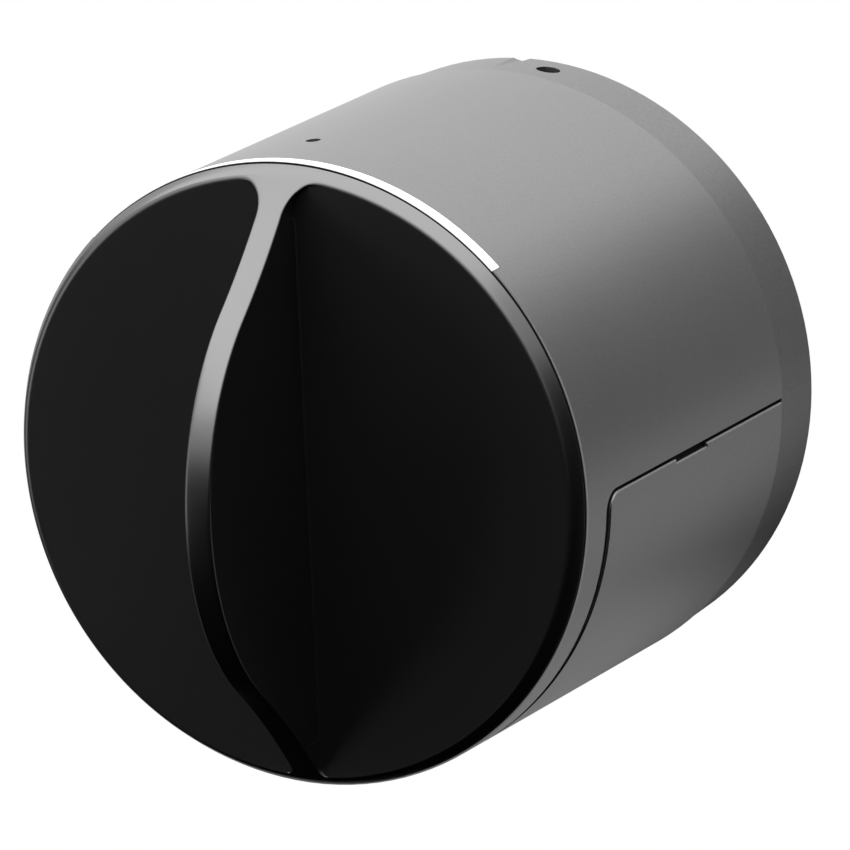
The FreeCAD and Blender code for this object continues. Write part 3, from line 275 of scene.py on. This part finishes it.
DIM_PART = (-12 * MM, -8 * MM)          # X over which the strip's left part gets brighter
WIDER_PART = (-4 * MM, 20 * MM)         # X over which its glow gets wider and the black painted shade round it narrower
GLOW_WIDENING = 0.15 * MM
GLOW_EDGE = (0.1 * MM, 0.04 * MM)       # depth below the body's radius where the glow fades into black painted shade
DIM_SHARE = 0.7


def milky_diffuser(name, colour, glow):
    """Translucent strip, lit from behind by its lamps, with black painted shade round its glow.
    """
    finish = Finish(name, roughness=0.35)
    haze = finish.noise(900, 2.0)
    bright = finish.axis("X").between(*DIM_PART)
    wider = finish.axis("X").between(*WIDER_PART) * GLOW_WIDENING
    lit = (finish.from_axis() + wider).between(BODY_R - GLOW_EDGE[0], BODY_R - GLOW_EDGE[1])
    light = lit * ((haze - 0.5) * 0.04 + DIM_SHARE + bright * (1.0 - DIM_SHARE))
    # Outside its glow the strip is black painted shade, which darkens the gap in front of the
    # knob.
    finish.set(base_color=finish.blend(lit, PAINTED_SHADE_BLACK, colour),
               emission_color=finish.blend(light, (0.0, 0.0, 0.0), colour),
               emission_strength=glow)
    return finish.material


def moulded_plastic(name, colour, roughness=0.5):
    """Moulded plastic with a fine spark-eroded texture."""
    finish = Finish(name)
    texture = finish.noise(3000, 3.0)
    flow = finish.noise(120, 2.0)
    lighter = tuple(c + 0.002 for c in shaded(colour, 1.2))
    finish.set(base_color=finish.blend(texture * 0.5 + flow * 0.5,
                                       shaded(colour, 0.8), lighter),
               roughness=roughness + (flow - 0.5) * 0.1 + (texture - 0.5) * 0.1)
    finish.relief(texture, 8e-6, 0.6)
    return finish.material


LINES_ALONG = {"X": (0.05, 1.0, 1.0), "Y": (1.0, 0.05, 1.0)}


def turned_metal(name, colour, roughness=0.3, along="Y"):
    """Machined metal with fine tool lines and a little handling haze."""
    finish = Finish(name, metallic=1.0)
    lines = finish.noise(4000, 2.0, LINES_ALONG[along])
    haze = finish.noise(150, 3.0)
    finish.set(base_color=finish.blend(lines * 0.5 + haze * 0.5,
                                       shaded(colour, 0.78), shaded(colour, 1.12)),
               roughness=roughness + (haze - 0.5) * 0.2 + (lines - 0.5) * 0.12)
    finish.relief(lines, 4e-6, 0.5)
    return finish.material


def sintered_bronze(name, colour):
    """Porous bearing bronze, darkened by the oil that it holds."""
    finish = Finish(name, metallic=1.0)
    pores = finish.cells(3500).between(0.1, 0.45)
    oil = finish.noise(200, 3.0)
    finish.set(base_color=finish.blend(pores * 0.7 + oil * 0.3, shaded(colour, 0.45), colour),
               roughness=0.42 + (oil - 0.5) * 0.2 - pores * 0.06)
    finish.relief(pores, 1e-5, 0.5)
    return finish.material


def circuit_board(name, colour):
    """Solder mask over copper tracks, which show as faint raised lines."""
    finish = Finish(name, roughness=0.32)
    weave = finish.noise(1800, 2.0)
    waves = finish.node("ShaderNodeTexWave", {"bands_direction": "X"}, {
        "Vector": finish.place, "Scale": 260.0, "Distortion": 3.0, "Detail": 1.0})
    tracks = Number(finish, waves.outputs["Fac"]).between(0.72, 0.8)
    finish.set(base_color=finish.blend(tracks * 0.6 + weave * 0.2, colour, shaded(colour, 2.2)))
    finish.relief(tracks + weave * 0.15, 2e-5, 0.6)
    return finish.material


BARE_END = (1.2 * MM, 1.4 * MM)         # from a cell's end, where its wrap starts


def shrink_wrap(name, colour, metal):
    """Plastic film shrunk on a cell, with bare plated metal at both of its ends."""
    finish = Finish(name, coat_weight=0.4)
    band = finish.noise(90, 2.0)
    wrinkle = finish.noise(700, 2.0, (1.0, 0.3, 1.0))
    low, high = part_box("battery_cell_1")
    along = finish.axis("Y")
    bare, covered = BARE_END
    ends = 1.0 - along.between(low.y + bare, low.y + covered) * (
        1.0 - along.between(high.y - covered, high.y - bare))
    film = finish.blend(band * 0.5 + wrinkle * 0.2, shaded(colour, 0.8), colour)
    finish.set(base_color=finish.blend(ends, film, metal), metallic=ends,
               roughness=0.3 + (wrinkle - 0.5) * 0.15)
    finish.relief(wrinkle, 1.5e-5, 0.4)
    return finish.material


FINISH_OF = {
    "shell_metal": lambda: anodised_shell("shell_metal", (0.33, 0.33, 0.334), 0.39),
    "ring_metal": lambda: blasted_aluminium("ring_metal", (0.28, 0.28, 0.284), 0.4, 1.6),
    "knob_metal": lambda: satin_black("knob_metal", (0.0005, 0.0005, 0.0006), 0.3),
    "diffuser": lambda: milky_diffuser("diffuser", (0.93, 0.93, 0.92), 0.6),
    "black_plastic": lambda: moulded_plastic("black_plastic", (0.016, 0.016, 0.017)),
    "bronze": lambda: sintered_bronze("bronze", (0.62, 0.4, 0.2)),
    "gear_brass": lambda: turned_metal("gear_brass", (0.78, 0.6, 0.3), 0.28),
    "steel": lambda: turned_metal("steel", (0.56, 0.56, 0.57), 0.3),
    "dark_steel": lambda: turned_metal("dark_steel", (0.035, 0.035, 0.037), 0.42),
    "spring_steel": lambda: turned_metal("spring_steel", (0.72, 0.7, 0.64), 0.24, "X"),
    "board": lambda: circuit_board("board", (0.012, 0.1, 0.045)),
    "chip": lambda: moulded_plastic("chip", (0.03, 0.03, 0.034), 0.42),
    "lamp": lambda: moulded_plastic("lamp", (0.9, 0.84, 0.56), 0.3),
    "shield": lambda: turned_metal("shield", (0.62, 0.62, 0.62), 0.3, "X"),
    "cell_wrap": lambda: shrink_wrap("cell_wrap", (0.05, 0.16, 0.36), (0.66, 0.66, 0.65)),
    "plunger": lambda: moulded_plastic("plunger", (0.72, 0.72, 0.69), 0.4),
    "magnet": lambda: turned_metal("magnet", (0.66, 0.66, 0.67), 0.18),
    "motor_steel": lambda: turned_metal("motor_steel", (0.5, 0.5, 0.51), 0.3),
}

SLOTS = {
    "shell_metal": ("housing_shell", "battery_cover"),
    "ring_metal": ("rear_ring",),
    "knob_metal": ("knob",),
    "diffuser": ("light_guide",),
    "black_plastic": ("front_bezel", "front_bulkhead", "motor_endcap", "battery_tray",
                      "rear_bulkhead", "cover_latches"),
    "bronze": ("front_bush", "rear_bush"),
    "gear_brass": ("main_gear", "idler_gear", "motor_pinion"),
    "steel": ("idler_pin", "spindle", "drive_coupling", "coupling_pin", "output_shaft",
              "gearbox_screws", "board_screws", "chassis_screws", "knob_screws"),
    "dark_steel": ("bezel_screws", "rear_screws", "set_screw"),
    "spring_steel": ("front_contacts", "rear_contacts", "spindle_clip"),
    "board": ("led_board", "main_board"),
    "chip": ("hall_sensor", "controller_chip", "reset_switch"),
    "lamp": ("status_leds",),
    "shield": ("radio_module",),
    "cell_wrap": ("battery_cell_1", "battery_cell_2", "battery_cell_3", "battery_cell_4"),
    "plunger": ("reset_plunger",),
    "magnet": ("position_magnets",),
    "motor_steel": ("planetary_gearbox", "motor_can"),
}


def finish_named(slot):
    """The finish of a slot, made at its first use."""
    return bpy.data.materials.get(slot + FINISH_MARK) or FINISH_OF[slot]()


# Sizes that a user may change


def length(name, description, millimetres):
    """A property for a length, its default given in millimetres."""
    return bpy.props.FloatProperty(name=name, description=description,
                                   default=millimetres * MM, unit="LENGTH", precision=5)


def angle(name, description, degrees):
    """A property for an angle, its default given in degrees."""
    return bpy.props.FloatProperty(name=name, description=description,
                                   default=math.radians(degrees), subtype="ANGLE")


class KnobSizes(bpy.types.PropertyGroup):
    fin_height: length("Fin height", "Of the dome's top in front of the housing", 19.65)
    fin_thickness: length("Fin thickness", "Between the two pockets", 2.65)
    crest_radius: length("Crest radius", "Of the round top of the dome", 23.7)
    flank_radius: length("Flank radius", "Of the hollow between the top and the rim", 70.0)
    rim_radius: length("Rim radius", "Outside radius of the knob", 29.3)
    land_radius: length("Land radius", "Where the dome ends and the rim starts", 28.6)
    land_height: length("Land height", "Of the rim's front edge", 1.44)
    rim_side: length("Rim side", "Height of the rim's outer edge", 0.36)
    back_height: length("Back height", "Gap between the knob and the housing", 0.3)
    pocket_radius: length("Pocket radius", "Of each pocket's round wall", 28.35)
    pocket_floor: length("Pocket floor", "Its height in front of the housing", 1.6)
    pocket_corner: length("Pocket corner", "Radius of each pocket's upper corners", 2.8)
    low_pocket_corner: length("Low pocket corner", "Radius of each pocket's lower corners", 0.9)
    edge_round: length("Edge round", "Radius of the pockets' edges in the upper half", 0.38)
    low_edge_round: length("Low edge round", "Radius of the pockets' edges low down", 0.1)
    root_round: length("Root round", "Radius at the pockets' foot", 0.25)
    hub_radius: length("Hub radius", "Of the boss behind the knob", 11.5)


class StudioSizes(bpy.types.PropertyGroup):
    azimuth: angle("Camera azimuth", "Round the lock from straight ahead", 28.085)
    elevation: angle("Camera elevation", "Above the lock's axis", 15.851)
    lean: angle("Lock's lean", "Of the knob's fin in the view", 2.8)
    distance: bpy.props.FloatProperty(name="Camera distance", unit="LENGTH", default=0.9,
                                      description="From the gap behind the knob")
    lens: bpy.props.FloatProperty(name="Lens", default=416.0,
                                  description="Focal length in millimetres, 36 mm sensor")
    floor_depth: bpy.props.FloatProperty(name="Floor depth", unit="LENGTH", default=0.35,
                                         description="Of the floor below the lock's axis")


# Modelling by operators


def new_primitive(name, add, **settings):
    """A primitive with nothing else selected, and its name."""
    bpy.ops.object.select_all(action="DESELECT")
    add(**settings)
    made = bpy.context.object
    made.name = name
    return made


def select_where(piece, kind, test):
    """In edit mode, selects the elements of a kind whose every corner passes a test."""
    bpy.ops.mesh.select_mode(type=kind)
    bpy.ops.mesh.select_all(action="DESELECT")
    bpy.ops.object.mode_set(mode="OBJECT")
    points = piece.data.vertices
    parts = {"VERT": points, "EDGE": piece.data.edges, "FACE": piece.data.polygons}[kind]
    for part in parts:
        corners = [part.index] if kind == "VERT" else part.vertices
        part.select = all(test(points[corner].co) for corner in corners)
    bpy.ops.object.mode_set(mode="EDIT")


def extrude_to(piece, place):
    """Extrudes the selected edges and moves each new point to its place from the old one."""
    bpy.ops.mesh.extrude_edges_move()
    bpy.ops.object.mode_set(mode="OBJECT")
    for point in piece.data.vertices:
        if point.select:
            point.co = place(point.co)
    bpy.ops.object.mode_set(mode="EDIT")


def use_modifier(piece, kind, **settings):
    """Adds a modifier and applies it."""
    bpy.context.view_layer.objects.active = piece
    made = piece.modifiers.new(kind.lower(), kind)
    for name, value in settings.items():
        setattr(made, name, value)
    bpy.ops.object.modifier_apply(modifier=made.name)


# Knob


LANDS = 3               # rows over the land, from the outer outline to the edge
EDGE_STEPS = 6          # rows round the pocket's edge
ROOT_STEPS = 4          # rows round the pocket's foot
FIN_STEPS = 140         # sections along the fin
CORNER_STEPS = 12       # sections over each half of a corner
ARC_STEPS = 200         # sections round the rim
RIM_BULGE = 0.03 * MM   # of the rim's sloping side
SOFT_FROM, SOFT_OVER = 18 * MM, 12 * MM     # below the axis, where the edges grow softer
SHARP_WALL = 3 * MM     # height of wall up to which its foot stays sharp
SMOOTH_ANGLE = 27
NEAR = 1e-7


def dome_profile(size):
    """Height of the dome at a radius: a round crest that flows into a hollow flank."""
    crest_centre = size.fin_height - size.crest_radius
    dx, dy = size.land_radius, size.land_height - crest_centre
    apart = math.hypot(dx, dy)
    reach = size.crest_radius + size.flank_radius
    along = (reach**2 - size.flank_radius**2 + apart**2) / (2 * apart)
    aside = math.sqrt(reach**2 - along**2)
    flank_x = (along * dx - aside * dy) / apart
    flank_y = crest_centre + (along * dy + aside * dx) / apart
    joint = flank_x * size.crest_radius / reach

    def height(radius):
        if radius < joint:
            return crest_centre + math.sqrt(size.crest_radius**2 - radius**2)
        return flank_y - math.sqrt(size.flank_radius**2 - (radius - flank_x)**2)

    return height


def corner_outline(size, radius):
    """Points round a pocket's upper corner, its centre's height and its angle at the rim."""
    corner_x = size.fin_thickness / 2 + radius
    corner_z = math.sqrt((size.pocket_radius - radius)**2 - corner_x**2)
    towards_tip = math.atan2(size.land_radius - corner_z, -corner_x)
    towards_rim = math.atan2(corner_z, corner_x)
    turns = [math.pi + (towards_tip - math.pi) * step / CORNER_STEPS
             for step in range(CORNER_STEPS)]
    turns += [towards_tip + (towards_rim - towards_tip) * step / CORNER_STEPS
              for step in range(CORNER_STEPS)]
    spare = corner_x**2 + corner_z**2 - size.land_radius**2
    points = []
    for turn in turns:
        x, z = math.cos(turn), math.sin(turn)
        across = corner_x * x + corner_z * z
        far = math.sqrt(across**2 - spare) - across
        if turn > towards_tip + 1e-9:
            far = -corner_x / x
        points.append(((corner_x + far * x, corner_z + far * z),
                       (corner_x + radius * x, corner_z + radius * z)))
    return points, corner_z, towards_rim


def half_outlines(size):
    """Matching points round the half knob's land and round its pocket, as (x, z) pairs."""
    half = size.fin_thickness / 2
    upper, upper_z, first = corner_outline(size, size.pocket_corner)
    lower, lower_z, last = corner_outline(size, size.low_pocket_corner)
    pairs = []
    for step in range(FIN_STEPS):
        z = (upper_z + lower_z) * step / FIN_STEPS - lower_z
        pairs.append(((0.0, z), (half, z)))
    pairs += upper
    for step in range(ARC_STEPS + 1):
        turn = first - (first + last) * step / ARC_STEPS
        x, z = math.cos(turn), math.sin(turn)
        pairs.append(((size.land_radius * x, size.land_radius * z),
                      (size.pocket_radius * x, size.pocket_radius * z)))
    pairs += [((a, -b), (c, -d)) for (a, b), (c, d) in reversed(lower[1:])]
    return pairs


def rim_profile(size, hub_y):
    """Radius and height of each corner from the rim's outer edge round to the hub's back."""
    middle = (size.rim_radius + size.land_radius) / 2
    chamfer = (size.rim_side - size.back_height) / 2
    return [(middle + RIM_BULGE, (size.land_height + size.rim_side) / 2 + RIM_BULGE),
            (size.rim_radius, size.rim_side),
            (size.rim_radius, size.back_height + chamfer),
            (size.rim_radius - chamfer, size.back_height),
            ((size.rim_radius + size.hub_radius) / 2, size.back_height),
            (size.hub_radius, size.back_height),
            (size.hub_radius, FRONT_Y - hub_y),
            (size.hub_radius / 2, FRONT_Y - hub_y)]


def section_rows(size, height, outer, inner):
    """Points of a section, as (x, height, z): over the land, round the edge and down."""
    reach = math.hypot(inner[0] - outer[0], inner[1] - outer[1])
    inwards = ((inner[0] - outer[0]) / reach, (inner[1] - outer[1]) / reach)

    def point(offset, level=None):
        x, z = inner[0] + inwards[0] * offset, inner[1] + inwards[1] * offset
        return x, height(math.hypot(x, z)) if level is None else level, z

    soft = min(max((inner[1] + SOFT_FROM) / SOFT_OVER, 0.0), 1.0)
    edge = size.low_edge_round + (size.edge_round - size.low_edge_round) * soft
    land = min(edge, reach * 0.95)
    rows = [point(-reach + (reach - land) * row / LANDS) for row in range(1, LANDS + 1)]
    top = point(0.0)[1]
    wall = max(top - size.pocket_floor, 0.0)
    fall = min(edge, wall)
    start = (-land, point(-land)[1])
    end = (edge - fall, top - fall)
    for step in range(1, EDGE_STEPS + 1):
        t = step / EDGE_STEPS
        near, middle, far = (1 - t)**2, 2 * t * (1 - t), t**2
        rows.append(point(near * start[0] + far * end[0],
                          near * start[1] + middle * top + far * end[1]))
    root = min(size.root_round, max(wall - SHARP_WALL, 0.0) / 4)
    for step in range(ROOT_STEPS + 1):
        turn = math.pi / 2 * step / ROOT_STEPS
        rows.append(point(end[0] + root * (1 - math.cos(turn)),
                          size.pocket_floor + root * (1 - math.sin(turn))))
    return rows


def knob_piece(size):
    """Right half of the knob, extruded row by row round its pocket, and its mirror."""
    height = dome_profile(size)
    pairs = half_outlines(size)
    sections = [section_rows(size, height, outer, inner) for outer, inner in pairs]
    piece = new_primitive("knob_body", bpy.ops.mesh.primitive_circle_add,
                          vertices=len(pairs), radius=size.land_radius)
    for point, (outer, inner) in zip(piece.data.vertices, pairs):
        point.co = (outer[0], FRONT_Y - height(math.hypot(*outer)), outer[1])
    bpy.ops.object.mode_set(mode="EDIT")
    bpy.ops.mesh.select_all(action="SELECT")
    for row in range(len(sections[0])):
        bpy.ops.mesh.extrude_edges_move()
        bpy.ops.object.mode_set(mode="OBJECT")
        moved = [point for point in piece.data.vertices if point.select]
        if len(moved) != len(pairs):
            raise RuntimeError("the knob's pocket lost its outline")
        for point, section in zip(moved, sections):
            x, forward, z = section[row]
            point.co = (x, FRONT_Y - forward, z)
        bpy.ops.object.mode_set(mode="EDIT")
    bpy.ops.mesh.edge_face_add()

    select_where(piece, "EDGE", lambda p: (abs(math.hypot(p.x, p.z) - size.land_radius) < NEAR
                                           and p.y < FRONT_Y - size.rim_side))
    for radius, forward in rim_profile(size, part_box("knob")[1].y):
        extrude_to(piece, lambda p: Vector((
            p.x * radius / math.hypot(p.x, p.z), FRONT_Y - forward,
            p.z * radius / math.hypot(p.x, p.z))))
    extrude_to(piece, lambda p: Vector((0.0, p.y, 0.0)))
    bpy.ops.mesh.select_all(action="SELECT")
    bpy.ops.mesh.remove_doubles(threshold=NEAR)
    bpy.ops.object.mode_set(mode="OBJECT")
    use_modifier(piece, "MIRROR", merge_threshold=NEAR)
    bpy.ops.object.mode_set(mode="EDIT")
    bpy.ops.mesh.select_all(action="SELECT")
    bpy.ops.mesh.normals_make_consistent(inside=False)
    bpy.ops.object.mode_set(mode="OBJECT")
    bpy.ops.object.shade_smooth_by_angle(angle=math.radians(SMOOTH_ANGLE))
    use_modifier(piece, "WEIGHTED_NORMAL", mode="FACE_AREA", keep_sharp=True)
    return piece


class LOCK_OT_knob(bpy.types.Operator):
    """Thumb knob with its domed fin, two pockets and rim"""
    bl_idname = "lock.knob"
    bl_label = "Knob"

    def execute(self, context):
        piece = knob_piece(context.scene.knob_sizes)
        piece.data.materials.append(finish_named("knob_metal"))
        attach(piece, "knob_assembly")
        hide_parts("knob")
        return {"FINISHED"}


class LOCK_OT_finishes(bpy.types.Operator):
    """Finish of every part that comes from the frame"""
    bl_idname = "lock.finishes"
    bl_label = "Finishes"

    def execute(self, context):
        for slot, nodes in SLOTS.items():
            for name in nodes:
                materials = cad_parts[name].data.materials
                materials.clear()
                materials.append(finish_named(slot))
        return {"FINISHED"}


# Stage


WORLD_GREY = (0.3, 0.3, 0.3, 1.0)
WHITE = (1.0, 1.0, 1.0, 1.0)
FLOOR_WIDTH = 12.0
WHITE_FLOOR = (0.45, 0.75)      # distance from the lock over which the floor turns white
AIM = (0.011341, 0.004614, -0.04745)    # of the camera: to the right, up, and along Y
SENSOR_WIDTH = 36.0


def glow_material(name, strength):
    """A studio card that shines evenly, so what reflects it has one plain tone."""
    material = bpy.data.materials.new(name)
    material.use_nodes = True
    tree = NodeTree(material.node_tree)
    light = tree.node("ShaderNodeEmission", {}, {
        "Color": WHITE, "Strength": strength})
    tree.node("ShaderNodeOutputMaterial", {}, {"Surface": light.outputs[0]})
    return material


def card(name, centre, facing, size, strength):
    """A flat card of the studio that only reflections see."""
    made = new_primitive(name, bpy.ops.mesh.primitive_plane_add, size=1.0)
    made.scale = (*size, 1.0)
    towards = Vector(facing) - Vector(centre)
    made.rotation_euler = towards.to_track_quat("Z", "Y").to_euler()
    made.location = centre
    made.data.materials.append(glow_material(name, strength))
    made.visible_camera = False
    made.visible_diffuse = False
    made.visible_shadow = False


def lamp(name, centre, facing, size, watts):
    """A soft lamp with a rectangular face."""
    data = bpy.data.lights.new(name, "AREA")
    data.shape = "RECTANGLE"
    data.size, data.size_y = size
    data.energy = watts
    made = bpy.data.objects.new(name, data)
    bpy.context.scene.collection.objects.link(made)
    made.location = centre
    made.rotation_euler = (Vector(centre) - Vector(facing)).to_track_quat("Z", "Y").to_euler()
    made.visible_camera = False


def set_world():
    """White to the rays that see it, and a plain grey light to the rest."""
    world = bpy.data.worlds.new("studio")
    bpy.context.scene.world = world
    world.use_nodes = True
    tree = NodeTree(world.node_tree)
    light = tree.node("ShaderNodeBackground", {}, {"Color": WORLD_GREY})
    white = tree.node("ShaderNodeBackground", {}, {"Color": WHITE})
    mix = tree.node("ShaderNodeMixShader", {}, {
        0: tree.ray(), 1: light.outputs[0], 2: white.outputs[0]})
    tree.node("ShaderNodeOutputWorld", {}, {"Surface": mix.outputs[0]})


def floor_piece(depth):
    """Pale floor below the lock, which keeps its shadow near it and is white far away."""
    made = new_primitive("floor", bpy.ops.mesh.primitive_plane_add, size=FLOOR_WIDTH)
    made.location = (0.0, 0.0, -depth)
    finish = Finish("floor", base_color=(0.86, 0.86, 0.86), roughness=0.9)
    grain = finish.noise(60, 3.0)
    finish.set(base_color=finish.blend(grain, (0.84, 0.84, 0.84), (0.88, 0.88, 0.88)))
    x, y = finish.axis("X"), finish.axis("Y")
    far = ((x * x + y * y) ** 0.5).between(*WHITE_FLOOR)
    white = finish.node("ShaderNodeEmission", {}, {"Color": WHITE})
    mix = finish.node("ShaderNodeMixShader", {}, {
        0: far * finish.ray(), 1: finish.surface.outputs["BSDF"], 2: white.outputs[0]})
    finish.tree.links.new(mix.outputs[0], finish.output.inputs["Surface"])
    made.data.materials.append(finish.material)


def camera(size):
    """Camera at the given angle, leaned about the lock's axis."""
    back = Vector((math.sin(size.azimuth) * math.cos(size.elevation),
                   -math.cos(size.azimuth) * math.cos(size.elevation),
                   math.sin(size.elevation)))
    right = Vector((math.cos(size.azimuth), math.sin(size.azimuth), 0.0))
    up = back.cross(right)
    aim_right, aim_up, aim_along = AIM
    place = back * size.distance + right * aim_right + up * aim_up
    lean = Matrix.Rotation(size.lean, 3, "Y")
    data = bpy.data.cameras.new("camera")
    data.sensor_width = SENSOR_WIDTH
    data.lens = size.lens
    data.clip_start, data.clip_end = 0.01, 100.0
    made = bpy.data.objects.new("camera", data)
    bpy.context.scene.collection.objects.link(made)
    axes = Matrix((right, up, back)).transposed()
    made.matrix_world = (Matrix.Translation(lean @ place + Vector((0, aim_along, 0)))
                         @ (lean @ axes).to_4x4())
    bpy.context.scene.camera = made


class LOCK_OT_stage(bpy.types.Operator):
    """Floor, cards, lamp and camera"""
    bl_idname = "lock.stage"
    bl_label = "Stage"

    def execute(self, context):
        size = context.scene.studio_sizes
        set_world()
        floor_piece(size.floor_depth)
        middle = (0.0, -0.03, 0.0)
        card("front_card", (0.0, -1.3, -0.42), (0.0, 0.0, -0.42), (3.6, 1.5), 0.0)
        card("low_card", (0.0, -0.53, -0.33), (0.0, -0.53, 0.0), (3.0, 1.54), 0.0)
        card("low_rear_card", (0.0, 1.54, -0.33), (0.0, 1.54, 0.0), (3.6, 2.6), 0.46)
        card("right_card", (1.3, -0.3, -0.1), (0.0, -0.3, -0.1), (2.1, 1.5), 0.0)
        card("right_rear_card", (1.1, 1.4, 0.05), middle, (1.9, 1.7), 0.2)
        card("left_front_card", (-0.85, -0.55, 0.1), middle, (0.5, 1.2), 1.0)
        card("left_card", (-1.3, -0.3, -0.25), (0.0, -0.3, -0.25), (2.1, 1.1), 0.15)
        # A dark flag close behind the lock deepens the ring's lower side.
        card("rear_flag", (0.008, 0.06, -0.034), (0.008, -1.0, -0.034), (0.076, 0.058), 0.0)
        lamp("overhead_lamp", (-0.5, -0.6, 1.0), (-0.5, -0.6, 0.0), (2.6, 2.0), 30.0)
        camera(size)
        context.scene.view_settings.view_transform = "Standard"
        return {"FINISHED"}


class LOCK_PT_panel(bpy.types.Panel):
    """Steps that dress the lock, and the sizes that they use"""
    bl_idname = "LOCK_PT_panel"
    bl_label = "Door Lock"
    bl_space_type = "VIEW_3D"
    bl_region_type = "UI"
    bl_category = "Door Lock"

    def draw(self, context):
        column = self.layout.column()
        for step in STEPS:
            column.operator(step.bl_idname)
        for group in (context.scene.knob_sizes, context.scene.studio_sizes):
            for name in group.bl_rna.properties.keys():
                if name not in {"rna_type", "name"}:
                    column.prop(group, name)


STEPS = (LOCK_OT_finishes, LOCK_OT_knob, LOCK_OT_stage)
GROUPS = {"knob_sizes": KnobSizes, "studio_sizes": StudioSizes}


def register():
    for made in (*GROUPS.values(), *STEPS, LOCK_PT_panel):
        bpy.utils.register_class(made)
    for name, group in GROUPS.items():
        setattr(bpy.types.Scene, name, bpy.props.PointerProperty(type=group))


def unregister():
    for name in GROUPS:
        delattr(bpy.types.Scene, name)
    for made in reversed((*GROUPS.values(), *STEPS, LOCK_PT_panel)):
        bpy.utils.unregister_class(made)


def main():
    register()
    bpy.ops.lock.finishes()
    bpy.ops.lock.knob()
    bpy.ops.lock.stage()


if __name__ == "__main__":
    main()
